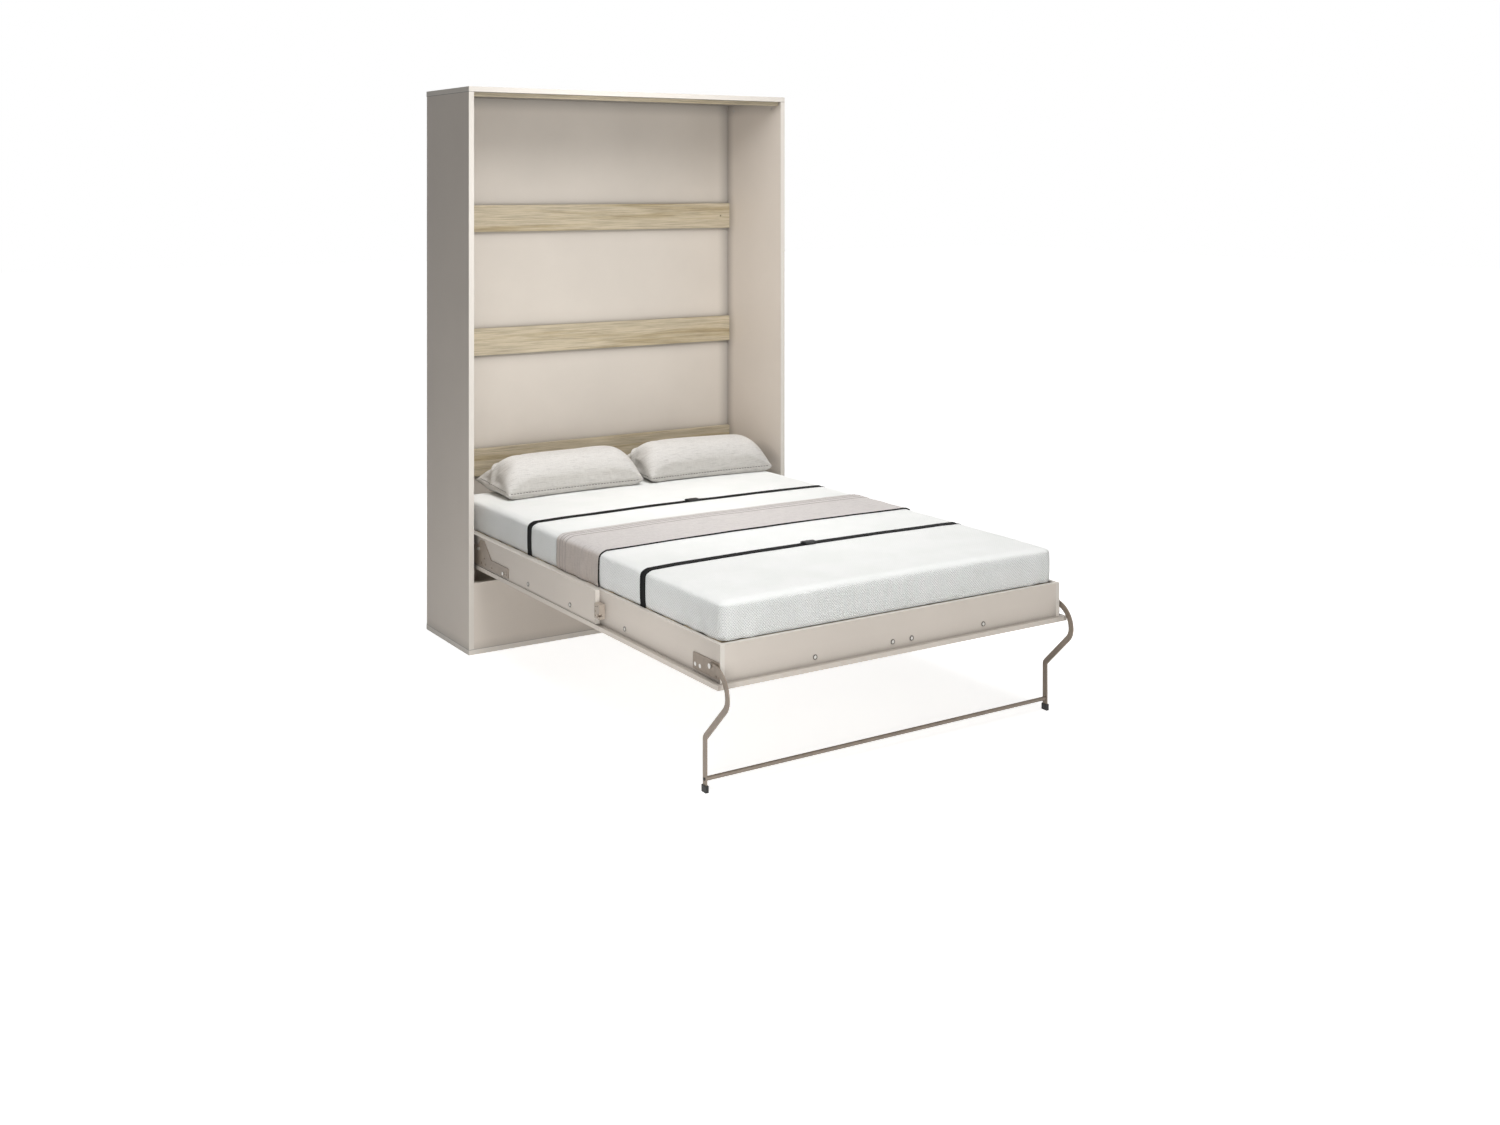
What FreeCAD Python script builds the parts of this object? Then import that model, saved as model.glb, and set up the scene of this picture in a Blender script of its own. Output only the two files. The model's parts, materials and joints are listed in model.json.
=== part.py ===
import FreeCAD, Part
import math
import os
import re
import Sketcher

# Vertical wall bed: a shallow cabinet whose bed swings down on two pivots.
# Millimetres. X runs to the right, Y to the wall, Z up, and the origin is the
# middle of the cabinet's underside on the floor.
# "Out" is a distance out from the wall, so Y is half_depth less that distance.

DRIVING_SIZES = {
    # Cabinet
    "cabinet_width": 1546,
    "cabinet_height": 2284,
    "cabinet_depth": 444,
    "board": 22,
    "back_sheet": 4,
    "back_sheet_inset": 2,
    "fascia_height": 266,
    "oak_rail_height": 116,
    "oak_rail_thick": 16,
    "upper_rail_share": 0.6694,
    "middle_rail_share": 0.33,
    "lower_rail_middle": 689,
    "stop_strip_height": 16,
    "stop_gap": 2,
    "wall_hole_radius": 4,
    "wall_hole_in": 51,
    "cam_radius": 7.5,
    "cam_depth": 12,
    "cam_recess": 0.5,
    "cam_from_end": 26,
    "cam_back_out": 56,
    "cam_front_in": 73,
    # Bed box
    "rail_board": 16,
    "rail_height": 118,
    "hinge_room": 15,
    "mattress_height": 130,
    "mattress_round": 30,
    "mattress_hem_round": 12,
    "mattress_end_round": 24,
    "mattress_crown": 8,
    "side_ease": 1,
    "end_ease": 1,
    "lay": 0.3,
    "head_setback": 184,
    "panel_underside": 341,
    "panel_lip": 4,
    "panel_foot_lip": 16,
    "fascia_gap": 12,
    "panel_seam_out": 1470,
    "panel_seam_gap": 1,
    "outer_rail_behind": 35,
    "outer_rail_foot_out": 1440,
    "outer_rail_cut_out": 34,
    "outer_rail_cut_down": 36,
    "inner_rail_seam_out": 1180,
    "slat_thick": 12,
    "slat_width": 68,
    "slat_count": 15,
    "slat_end_gap": 24,
    "ledger_height": 20,
    "ledger_width": 20,
    "centre_strip_width": 40,
    "cross_rail_head_out": 905,
    "cross_rail_seam_out": 1248,
    "cross_rail_foot_out": 1620,
    "rail_cap_height": 24,
    "rail_cap_radius": 7.5,
    "rail_cap_proud": 1.5,
    "foot_cap_near": 40,
    "foot_cap_in": 343,
    # Closing
    "front_recess": 3,
    "top_gap": 6,
    "pivot_lift": 45,
    # Pivots and hinge plates
    "steel": 3,
    "pin_radius": 7,
    "bush_radius": 10,
    "running_fit": 0.05,
    "axial_gap": 0.4,
    "pin_short": 0.8,
    "pin_collar_radius": 12,
    "hinge_plate_lift": 6,
    "hinge_tail_in": 8,
    "hinge_tip_reach": 351,
    "hinge_tip_height": 40,
    "hinge_elbow_reach": 195,
    "hinge_arm_front_reach": 127,
    "hinge_arm_back_reach": 94,
    "hinge_arm_drop": 9,
    "hinge_shoulder_reach": 66,
    "hinge_shoulder_height": 78,
    "hinge_corner": 7,
    "hinge_hole_radius": 4,
    "hinge_bolt_radius": 6.5,
    "hinge_bolt_head": 5,
    "cabinet_plate_width": 88,
    "cabinet_plate_height": 150,
    "cabinet_plate_corner": 10,
    "screw_head_radius": 4.5,
    "screw_head": 1.6,
    "screw_edge": 14,
    # Gas struts
    "lever_reach": 100,
    "lever_plate_width": 84,
    "lever_plate_height": 58,
    "stud_radius": 5,
    "stud_boss_radius": 7,
    "stud_gap": 0.3,
    "anchor_out": 60,
    "anchor_height": 560,
    "anchor_plate_width": 44,
    "anchor_plate_height": 70,
    "strut_radius": 11,
    "strut_wall": 1.6,
    "strut_eye_radius": 10,
    "strut_eye_thick": 12,
    "strut_neck_radius": 4.5,
    "strut_tube_start": 18,
    "strut_tube_length": 186,
    "strut_gland": 10,
    "strut_end_cap": 4,
    "rod_radius": 5,
    "piston_gap": 0.1,
    "piston_thick": 8,
    "piston_start": 4,
    "rod_end_radius": 8,
    # Corner connectors
    "connector_length": 38,
    "connector_height": 52,
    "connector_width": 22,
    "connector_lift": 24,
    "connector_gap": 1,
    "connector_hole_radius": 3.4,
    "connector_hole_depth": 6,
    "connector_slot_height": 9,
    "connector_slot_width": 12,
    "connector_pad": 2.5,
    # Folding legs
    "leg_pivot_in": 43,
    "leg_pivot_lift": 45,
    "leg_bolt_radius": 5,
    "leg_bolt_head_radius": 8,
    "leg_bolt_head": 4,
    "leg_washer_radius": 8,
    "leg_side_gap": 1,
    "leg_bar_width": 20,
    "leg_bar_thick": 5,
    "leg_run_out": 12,
    "leg_knee_radius": 82,
    "leg_calf_radius": 53,
    "leg_foot_in": 77,
    "leg_ankle_radius": 16,
    "leg_sole_gap": 3,
    "leg_cap_wall": 3,
    "leg_cap_height": 22,
    "crossbar_radius": 7,
    "crossbar_height": 41,
    "crossbar_screw_radius": 5,
    "crossbar_screw_head": 2,
    "bracket_head_in": 155,
    "bracket_foot_gap": 2,
    "bracket_lift": 9,
    "bracket_height": 52,
    "bracket_corner": 4,
    "bracket_slot_near": 14,
    "bracket_slot_far": 42,
    "bracket_slot_radius": 6.5,
    "bracket_slot_height": 16,
    # Pillows, runner and straps
    "pillow_left_in": 88,
    "pillow_right_in": -8,
    "pillow_between": 18,
    "pillow_front_out": 468,
    "pillow_back_out": 106,
    "pillow_crest_out": 276,
    "pillow_height": 146,
    "pillow_front_seam": 24,
    "pillow_back_seam": 36,
    "pillow_flat_front_in": 18,
    "pillow_flat_back_in": 104,
    "pillow_draw_in": 14,
    "pillow_tip": 4,
    "pillow_swing_ease": 8,
    "pillow_left_share": 7,
    "pillow_right_share": 8,
    "pillow_bulge_share": 0.17,
    "runner_head_out": 1084,
    "runner_width": 330,
    "runner_thick": 4,
    "hang_gap": 3,
    "strap_width": 34,
    "strap_thick": 2,
    "strap_head_out": 852,
    "strap_foot_out": 1716,
    "buckle_length": 50,
    "buckle_width": 44,
    "buckle_thick": 7,
    "buckle_head_middle": 28,
    "buckle_foot_middle": -16,
    "buckle_round": 3,
    # Every cut runs this far past the surface that it opens
    "overrun": 2,
}

WORKED_OUT = {
    "half_width": "cabinet_width / 2",
    "half_depth": "cabinet_depth / 2",
    "inner_half": "half_width - board",
    "roof": "cabinet_height - board",
    "fascia_back": "cabinet_depth - rail_board",
    "cam_front_out": "cabinet_depth - cam_front_in",
    "oak_front": "back_sheet + oak_rail_thick",
    "above_lower_rail": "roof - lower_rail_middle",
    "upper_rail_middle": "lower_rail_middle + above_lower_rail * upper_rail_share",
    "middle_rail_middle": "lower_rail_middle + above_lower_rail * middle_rail_share",
    "wall_hole_half": "inner_half - wall_hole_in",
    "hinge_outer": "inner_half - hinge_room",
    "double_outer": "hinge_outer - steel",
    "skin_outer": "double_outer - rail_board",
    "skin_inner": "skin_outer - rail_board",
    "mattress_half": "skin_inner - side_ease",
    "cabinet_plate_face": "inner_half - steel",
    "panel_half": "double_outer + panel_lip",
    "panel_top": "panel_underside + rail_board",
    "rail_top": "panel_top + rail_height",
    "slat_under": "rail_top - slat_thick",
    "support_under": "slat_under - ledger_height",
    "cap_line": "panel_top + rail_cap_height",
    "pivot_out": "cabinet_depth - front_recess - rail_board - pivot_lift",
    "pivot_height": "panel_top + pivot_lift",
    "pivot_sum": "pivot_out + pivot_height",
    "pivot_lead": "pivot_height - pivot_out",
    "head_inner": "head_setback + rail_board",
    "mattress_head": "head_inner + end_ease",
    "panel_foot": "roof - top_gap - pivot_lead",
    "foot_outer": "panel_foot - panel_foot_lip",
    "foot_inner": "foot_outer - rail_board",
    "mattress_foot": "foot_inner - end_ease",
    "mattress_under": "rail_top + lay",
    "mattress_top": "mattress_under + mattress_height",
    "bed_top": "mattress_top + lay",
    "panel_head_out": "board + fascia_height + fascia_gap - pivot_lead",
    "outer_rail_head_out": "pivot_out - outer_rail_behind",
    "hinge_tip_out": "pivot_out + hinge_tip_reach",
    "hinge_elbow_out": "pivot_out + hinge_elbow_reach",
    "hinge_arm_front_out": "pivot_out + hinge_arm_front_reach",
    "hinge_arm_back_out": "pivot_out + hinge_arm_back_reach",
    "hinge_shoulder_out": "pivot_out + hinge_shoulder_reach",
    "closed_face": "pivot_sum - panel_top",
    "stop_front": "closed_face - stop_gap",
    "stud_out": "pivot_out - lever_reach",
    "strut_middle": "(skin_outer + inner_half) / 2",
    "eye_inner": "strut_middle - strut_eye_thick / 2",
    "eye_outer": "strut_middle + strut_eye_thick / 2",
    "strut_across": "stud_out - anchor_out",
    "strut_down": "anchor_height - pivot_height",
    "strut_reach": "sqrt(strut_across ^ 2 + strut_down ^ 2)",
    "tube_end": "strut_tube_start + strut_tube_length",
    "leg_pivot_out": "foot_outer - leg_pivot_in",
    "leg_pivot_height": "panel_top + leg_pivot_lift",
    "leg_foot_out": "foot_outer - leg_foot_in",
    "bracket_head_out": "foot_outer - bracket_head_in",
    "leg_inner": "skin_outer + steel + leg_side_gap",
    "leg_outer": "leg_inner + leg_bar_thick",
    "bracket_outer": "skin_outer + steel",
    "bracket_under": "panel_top + bracket_lift",
    "pillow_width": "mattress_half - (pillow_left_in + pillow_between + pillow_right_in) / 2",
    "pillow_left_middle": "pillow_left_in + pillow_width / 2 - mattress_half",
    "pillow_right_middle": "mattress_half - pillow_right_in - pillow_width / 2",
}

DOC = FreeCAD.newDocument("wall_bed")
SIZES = DOC.addObject("Spreadsheet::Sheet", "Sizes")
NODES = {}
SIDES = (("left", -1), ("right", 1))
WORD = re.compile(r"[a-z][a-z_]+")


def fill_sheet():
    """The driving sizes are plain numbers; the places worked out from them follow as formulas."""
    entries = [(alias, str(number)) for alias, number in DRIVING_SIZES.items()]
    entries += [(alias, "=" + formula) for alias, formula in WORKED_OUT.items()]
    for row, (alias, content) in enumerate(entries, start=1):
        SIZES.set(f"A{row}", alias)
        SIZES.set(f"B{row}", content)
        SIZES.setAlias(f"B{row}", alias)
    DOC.recompute()


def at(expression):
    """The value of an expression in the sheet's words."""
    return float(SIZES.evalExpression(expression))


def tie(thing, path, expression):
    """Bind one property of an object to an expression in the sheet's words."""
    thing.setExpression(path, WORD.sub(lambda word: "Sizes." + word.group(0), expression))


def keep(name, thing):
    """Name a finished sub-part."""
    thing.Label = name
    NODES[name] = thing
    return thing


def spot(x, out, z):
    """A point in space from a distance across, a distance out from the wall and a height."""
    return FreeCAD.Vector(at(x), at("half_depth") - at(out), at(z))


def sided(side, near, far):
    """The span between two distances from the middle, on the left or on the right."""
    return (near, far) if side > 0 else (f"-({far})", f"-({near})")


def place(thing, x, out, z):
    tie(thing, ".Placement.Base.x", x)
    tie(thing, ".Placement.Base.y", f"half_depth - ({out})")
    tie(thing, ".Placement.Base.z", z)


def block(name, x, out, z):
    """A square-edged board between two places on each axis."""
    box = DOC.addObject("Part::Box", name)
    tie(box, "Length", f"({x[1]}) - ({x[0]})")
    tie(box, "Width", f"({out[1]}) - ({out[0]})")
    tie(box, "Height", f"({z[1]}) - ({z[0]})")
    place(box, x[0], out[1], z[0])
    return box


ACROSS = FreeCAD.Rotation(FreeCAD.Vector(0, 1, 0), 90)
OUTWARD = FreeCAD.Rotation(FreeCAD.Vector(1, 0, 0), 90)
UPWARD = FreeCAD.Rotation()


def dowel(name, direction, start, length, radius):
    """A round bar from its start along X, out from the wall or up."""
    bar = DOC.addObject("Part::Cylinder", name)
    tie(bar, "Radius", radius)
    tie(bar, "Height", length)
    bar.Placement = FreeCAD.Placement(FreeCAD.Vector(), direction)
    place(bar, *start)
    return bar


def crosswise(name, side, near, far, out, z, radius):
    """A round bar that runs across, between two distances from the middle."""
    x = sided(side, near, far)
    return dowel(name, ACROSS, (x[0], out, z), f"({x[1]}) - ({x[0]})", radius)


def joined(name, pieces):
    fuse = DOC.addObject("Part::MultiFuse", name)
    fuse.Shapes = pieces
    return fuse


def group(name, pieces):
    """Like pieces that share a node and stay separate solids."""
    several = DOC.addObject("Part::Compound", name)
    several.Links = pieces
    return several


def bored(name, piece, tools):
    """A piece with its holes and cut-outs taken away."""
    cut = DOC.addObject("Part::Cut", name)
    cut.Base = piece
    cut.Tool = tools[0] if len(tools) == 1 else joined(name + "_tools", tools)
    return cut


def outline_sketch(body, name, outline, holes, face_x):
    """A closed outline with round holes, drawn on a plane that faces along X."""
    plane = next(item for item in body.Origin.OriginFeatures if item.Role == "YZ_Plane")
    sketch = body.newObject("Sketcher::SketchObject", name)
    sketch.AttachmentSupport = (plane, [""])
    sketch.MapMode = "FlatFace"
    tie(sketch, ".AttachmentOffset.Base.z", face_x)
    corners = [FreeCAD.Vector(at("half_depth") - at(out), at(z), 0) for out, z in outline]
    for corner, following in zip(corners, corners[1:] + corners[:1]):
        sketch.addGeometry(Part.LineSegment(corner, following))
    for index, (out, z) in enumerate(outline):
        following = (index + 1) % len(outline)
        sketch.addConstraint(Sketcher.Constraint("Coincident", index, 2, following, 1))
        hold_point(sketch, index, 1, out, z)
    for out, z, radius in holes:
        middle = FreeCAD.Vector(at("half_depth") - at(out), at(z), 0)
        circle = sketch.addGeometry(Part.Circle(middle, FreeCAD.Vector(0, 0, 1), at(radius)))
        hold_point(sketch, circle, 3, out, z)
        size = sketch.addConstraint(Sketcher.Constraint("Radius", circle, at(radius)))
        tie(sketch, f"Constraints[{size}]", radius)
    return sketch


def hold_point(sketch, geometry, point, out, z):
    """Fix one point of a sketch at a distance out from the wall and a height."""
    along = at("half_depth") - at(out)
    level = sketch.addConstraint(Sketcher.Constraint("DistanceX", geometry, point, along))
    tie(sketch, f"Constraints[{level}]", f"half_depth - ({out})")
    level = sketch.addConstraint(Sketcher.Constraint("DistanceY", geometry, point, at(z)))
    tie(sketch, f"Constraints[{level}]", z)


def steel_plate(name, side, near, thick, outline, holes, corner):
    """A flat plate that faces sideways, with round holes and rounded corners."""
    face_x = sided(side, near, f"{near} + {thick}")[0]
    body = DOC.addObject("PartDesign::Body", name)
    sketch = outline_sketch(body, name + "_outline", outline, holes, face_x)
    pad = body.newObject("PartDesign::Pad", name + "_pad")
    pad.Profile = sketch
    tie(pad, "Length", thick)
    sketch.Visibility = False
    DOC.recompute()
    corners = [spot("0", out, z) for out, z in outline]
    upright = [
        f"Edge{number}"
        for number, edge in enumerate(pad.Shape.Edges, start=1)
        if runs_across(edge) and any(over_corner(edge, corner_spot) for corner_spot in corners)
    ]
    rounding = body.newObject("PartDesign::Fillet", name + "_corners")
    rounding.Base = (pad, upright)
    tie(rounding, "Radius", corner)
    body.Tip = rounding
    return body


def runs_across(edge):
    """Whether a straight edge runs along X."""
    along = edge.tangentAt(edge.FirstParameter)
    return abs(along.x) > abs(along.y) + abs(along.z)


def runs_up(edge):
    """Whether a straight edge runs along Z."""
    along = edge.tangentAt(edge.FirstParameter)
    return abs(along.z) > abs(along.x) + abs(along.y)


def faces_along(face):
    """Whether a flat face looks along Y."""
    way = face.normalAt(0, 0)
    return abs(way.y) > abs(way.x) + abs(way.z)


def over_corner(edge, corner):
    """Whether an edge stands over one corner of its plate's outline."""
    point = edge.Vertexes[0].Point
    return math.hypot(point.y - corner.y, point.z - corner.z) < Part.Vertex(point).Tolerance * 100


def rectangle(out, z):
    """The four corners of a rectangle seen from the side."""
    return [(out[0], z[0]), (out[1], z[0]), (out[1], z[1]), (out[0], z[1])]


def made(name, shape):
    """A sub-part whose shape is worked out here from the sheet."""
    feature = DOC.addObject("Part::Feature", name)
    feature.Shape = shape
    return keep(name, feature)


# Cabinet

def cabinet_boards():
    full = ("-half_width", "half_width")
    depth = ("0", "cabinet_depth")
    keep("top_board", block("top", full, depth, ("roof", "cabinet_height")))
    keep("bottom_board", block("bottom", full, depth, ("0", "board")))
    inner = ("-inner_half", "inner_half")
    fascia = block("fascia", inner, ("fascia_back", "cabinet_depth"), ("board", "board + fascia_height"))
    keep("front_fascia", fascia)
    strip_out = ("stop_front - oak_rail_thick", "stop_front")
    keep("stop_strip", block("strip", inner, strip_out, ("roof - stop_strip_height", "roof")))
    for name, side in SIDES:
        x = sided(side, "inner_half", "half_width")
        board = block("side_blank_" + name, x, ("back_sheet", "cabinet_depth"), ("board", "roof"))
        bores = [cam_bore(f"cam_bore_{name}_{number}", side, *spot_words, "inner_half - overrun")
                 for number, spot_words in enumerate(cam_places())]
        keep(f"side_board_{name}", bored("side_" + name, board, bores))


def cam_places():
    """Where the cam fittings that draw the boards together sit: distance out and height."""
    heights = ("board + cam_from_end", "roof - cam_from_end")
    return [(out, height) for out in ("cam_back_out", "cam_front_out") for height in heights]


def cam_bore(name, side, out, height, near):
    return crosswise(name, side, near, "inner_half + cam_depth", out, height, "cam_radius")


def cabinet_fittings():
    cams = [cam_bore(f"cam_{name}_{number}", side, *spot_words, "inner_half + cam_recess")
            for name, side in SIDES for number, spot_words in enumerate(cam_places())]
    keep("cam_fittings", group("cams", cams))


def cabinet_back():
    """Three thin sheets close the back and meet behind the two upper rails."""
    seams = ("board", "middle_rail_middle", "upper_rail_middle", "roof")
    x = ("back_sheet_inset - half_width", "half_width - back_sheet_inset")
    for number, name in enumerate(("lower", "middle", "upper")):
        low = seams[number]
        high = seams[number + 1]
        sheet = block("sheet_" + name, x, ("0", "back_sheet"), (low, high))
        if name != "lower":
            sheet = bored("sheet_holed_" + name, sheet, wall_holes("sheet_" + name))
        keep(f"back_panel_{name}", sheet)
    for name in ("upper", "middle", "lower"):
        middle = f"{name}_rail_middle"
        z = (f"{middle} - oak_rail_height / 2", f"{middle} + oak_rail_height / 2")
        rail = block("oak_" + name, ("-inner_half", "inner_half"), ("back_sheet", "oak_front"), z)
        if name == "upper":
            rail = bored("oak_holed_" + name, rail, wall_holes("oak_" + name))
        keep(f"back_rail_{name}", rail)


def wall_holes(name):
    """The two holes for the screws that hold the cabinet to the wall."""
    length = "oak_front + 2 * overrun"
    return [dowel(f"{name}_wall_hole_{number}", OUTWARD, (x, "-overrun", "upper_rail_middle"), length,
                  "wall_hole_radius")
            for number, x in enumerate(("-wall_hole_half", "wall_hole_half"))]


def cabinet_hinges():
    """A steel plate on each side board carries the pivot pin on a welded collar."""
    screws = []
    pins = []
    half_out = "cabinet_plate_width / 2"
    half_high = "cabinet_plate_height / 2"
    out = (f"pivot_out - {half_out}", f"pivot_out + {half_out}")
    z = (f"pivot_height - {half_high}", f"pivot_height + {half_high}")
    for name, side in SIDES:
        holes = [("pivot_out", "pivot_height", "pin_radius")]
        plate = steel_plate("hinge_seat_" + name, side, "cabinet_plate_face", "steel", rectangle(out, z), holes,
                            "cabinet_plate_corner")
        keep(f"cabinet_hinge_plate_{name}", plate)
        shaft = crosswise("pin_" + name, side, "skin_inner + pin_short", "inner_half", "pivot_out",
                          "pivot_height", "pin_radius")
        collar = crosswise("pin_collar_" + name, side, "hinge_outer + axial_gap", "cabinet_plate_face",
                           "pivot_out", "pivot_height", "pin_collar_radius")
        pins.append(joined("pivot_" + name, [shaft, collar]))
        for number, (screw_out, screw_z) in enumerate(
                (o, h) for o in (f"{out[0]} + screw_edge", f"{out[1]} - screw_edge")
                for h in (f"{z[0]} + screw_edge", f"{z[1]} - screw_edge")):
            screws.append(crosswise(f"seat_screw_{name}_{number}", side, "cabinet_plate_face - screw_head",
                                    "cabinet_plate_face", screw_out, screw_z, "screw_head_radius"))
    keep("pivot_pins", group("pins", pins))
    keep("hinge_plate_screws", group("seat_screws", screws))


def strut_anchors():
    """A plate with a headed stud on each side board, high behind the pillows."""
    half_out = "anchor_plate_width / 2"
    half_high = "anchor_plate_height / 2"
    outline = rectangle((f"anchor_out - {half_out}", f"anchor_out + {half_out}"),
                        (f"anchor_height - {half_high}", f"anchor_height + {half_high}"))
    anchors = []
    for name, side in SIDES:
        plate = steel_plate("anchor_plate_" + name, side, "cabinet_plate_face", "steel", outline, [],
                            "hinge_corner")
        stud = crosswise("anchor_stud_" + name, side, "eye_inner - axial_gap", "cabinet_plate_face",
                         "anchor_out", "anchor_height", "stud_radius")
        head = crosswise("anchor_head_" + name, side, "eye_inner - axial_gap - steel", "eye_inner - axial_gap",
                         "anchor_out", "anchor_height", "stud_boss_radius")
        anchors.append(joined("anchor_" + name, [plate, stud, head]))
    keep("strut_anchors", group("anchors", anchors))


# Bed box

def facade():
    """The cabinet's front, which is the bed's underside, in two halves."""
    x = ("-panel_half", "panel_half")
    z = ("panel_underside", "panel_top")
    keep("facade_panel_head", block("facade_head", x, ("panel_head_out", "panel_seam_out"), z))
    foot = ("panel_seam_out + panel_seam_gap", "panel_foot")
    keep("facade_panel_foot", block("facade_foot", x, foot, z))


def bed_rails():
    z = ("panel_top", "rail_top")
    keep("head_rail", block("head", ("-skin_outer", "skin_outer"), ("head_setback", "head_inner"), z))
    keep("foot_rail", block("foot", ("-skin_inner", "skin_inner"), ("foot_inner", "foot_outer"), z))
    for name, side in SIDES:
        inner = sided(side, "skin_inner", "skin_outer")
        outer = sided(side, "skin_outer", "double_outer")
        bore = [crosswise("bore_in_" + name, side, "skin_inner - overrun", "skin_outer + overrun", "pivot_out",
                          "pivot_height", "bush_radius")]
        lining = block("lining_blank_" + name, inner, ("head_inner", "inner_rail_seam_out"), z)
        keep(f"side_lining_{name}", bored("lining_" + name, lining, bore))
        bolt = [crosswise("leg_bore_" + name, side, "skin_inner - overrun", "skin_outer + overrun",
                          "leg_pivot_out", "leg_pivot_height", "leg_bolt_radius")]
        foot_half = block("rail_foot_blank_" + name, inner, ("inner_rail_seam_out", "foot_outer"), z)
        keep(f"side_rail_foot_{name}", bored("rail_foot_" + name, foot_half, bolt))
        keep(f"side_rail_head_{name}", outer_rail(name, side))


def outer_rail(name, side):
    """The head half of the side rail, its rear corner cut back so that the gas strut passes."""
    outline = [
        ("outer_rail_head_out", "panel_top"),
        ("outer_rail_foot_out", "panel_top"),
        ("outer_rail_foot_out", "rail_top"),
        ("outer_rail_head_out + outer_rail_cut_out", "rail_top"),
        ("outer_rail_head_out", "rail_top - outer_rail_cut_down"),
    ]
    holes = [("pivot_out", "pivot_height", "bush_radius")]
    body = DOC.addObject("PartDesign::Body", "rail_head_" + name)
    face_x = sided(side, "skin_outer", "double_outer")[0]
    sketch = outline_sketch(body, f"rail_head_{name}_outline", outline, holes, face_x)
    pad = body.newObject("PartDesign::Pad", f"rail_head_{name}_pad")
    pad.Profile = sketch
    tie(pad, "Length", "rail_board")
    body.Tip = pad
    return body


def bed_supports():
    """Cross rails, a centre strip and ledgers carry the slats."""
    x = ("-skin_inner", "skin_inner")
    z = ("panel_top", "support_under")
    rails = []
    for name in ("head", "seam", "foot"):
        middle = f"cross_rail_{name}_out"
        out = (f"{middle} - rail_board / 2", f"{middle} + rail_board / 2")
        rails.append(block("cross_" + name, x, out, z))
    keep("cross_rails", group("crossing", rails))
    long = ("head_inner", "foot_inner")
    level = ("support_under", "slat_under")
    centre = ("-centre_strip_width / 2", "centre_strip_width / 2")
    keep("centre_strip", block("centre", centre, long, level))
    spans = [(name, sided(side, "skin_inner - ledger_width", "skin_inner")) for name, side in SIDES]
    keep("slat_ledgers", group("ledgers", [block("ledger_" + name, span, long, level) for name, span in spans]))


def slats():
    step = "(foot_inner - head_inner - 2 * slat_end_gap - slat_width) / (slat_count - 1)"
    pieces = []
    for number in range(int(at("slat_count"))):
        near = f"head_inner + slat_end_gap + {number} * {step}"
        pieces.append(block(f"slat_{number}", ("-mattress_half", "mattress_half"),
                            (near, f"{near} + slat_width"), ("slat_under", "rail_top")))
    keep("slats", group("slat_row", pieces))


def hinge_plates():
    """The bed's side of each pivot: a plate with a tall arm and a long tongue, and a steel bush."""
    under = "panel_top + hinge_plate_lift"
    back = "outer_rail_head_out + hinge_tail_in"
    tongue = f"{under} + hinge_tip_height"
    shoulder = f"{under} + hinge_shoulder_height"
    arm = "rail_top - hinge_arm_drop"
    outline = [
        (back, under),
        ("hinge_tip_out", under),
        ("hinge_tip_out", tongue),
        ("hinge_elbow_out", tongue),
        ("hinge_arm_front_out", arm),
        ("hinge_arm_back_out", arm),
        ("hinge_shoulder_out", shoulder),
        (back, shoulder),
    ]
    low = f"{under} + hinge_tip_height / 3"
    high = f"{under} + hinge_tip_height * 9 / 10"
    holes = [("pivot_out", "pivot_height", "bush_radius")]
    holes += [(f"hinge_elbow_out {shift}", height, "hinge_hole_radius") for shift, height in (
        ("+ hinge_tip_height / 5", low), ("- hinge_tip_height * 7 / 5", low),
        ("- hinge_tip_height * 8 / 5", high), ("- hinge_tip_height * 23 / 10", low))]
    holes.append(("hinge_tip_out - hinge_tip_height / 3", low, "hinge_hole_radius"))
    bolts = []
    bushes = []
    for name, side in SIDES:
        keep(f"hinge_plate_{name}", steel_plate("plate_" + name, side, "double_outer", "steel", outline,
                                                holes, "hinge_corner"))
        sleeve = crosswise("bush_" + name, side, "skin_inner", "hinge_outer", "pivot_out", "pivot_height",
                           "bush_radius")
        hole = crosswise("bush_bore_" + name, side, "skin_inner - overrun", "hinge_outer + overrun",
                         "pivot_out", "pivot_height", "pin_radius + running_fit")
        bushes.append(bored("bushed_" + name, sleeve, [hole]))
        for number, (out, height) in enumerate((
                ("hinge_tip_out - hinge_tip_height", low),
                ("hinge_shoulder_out + hinge_bolt_radius * 2", f"{shoulder} - hinge_bolt_radius * 2"))):
            bolts.append(crosswise(f"plate_bolt_{name}_{number}", side, "hinge_outer",
                                   "hinge_outer + hinge_bolt_head", out, height, "hinge_bolt_radius"))
    keep("pivot_bushes", group("bushes", bushes))
    keep("hinge_plate_bolts", group("plate_bolts", bolts))


def strut_levers():
    """The plate that the gas strut pushes on, with a boss that ends just short of the rod's eye."""
    half_high = "lever_plate_height / 2"
    far = "outer_rail_head_out - axial_gap"
    outline = rectangle((f"{far} - lever_plate_width", far),
                        (f"pivot_height - {half_high}", f"pivot_height + {half_high}"))
    levers = []
    for name, side in SIDES:
        plate = steel_plate("lever_plate_" + name, side, "skin_outer", "steel", outline, [], "hinge_corner")
        boss = crosswise("lever_boss_" + name, side, "skin_outer + steel", "eye_inner - stud_gap", "stud_out",
                         "pivot_height", "stud_boss_radius")
        levers.append(joined("lever_" + name, [plate, boss]))
    keep("strut_levers", group("levers", levers))


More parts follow.
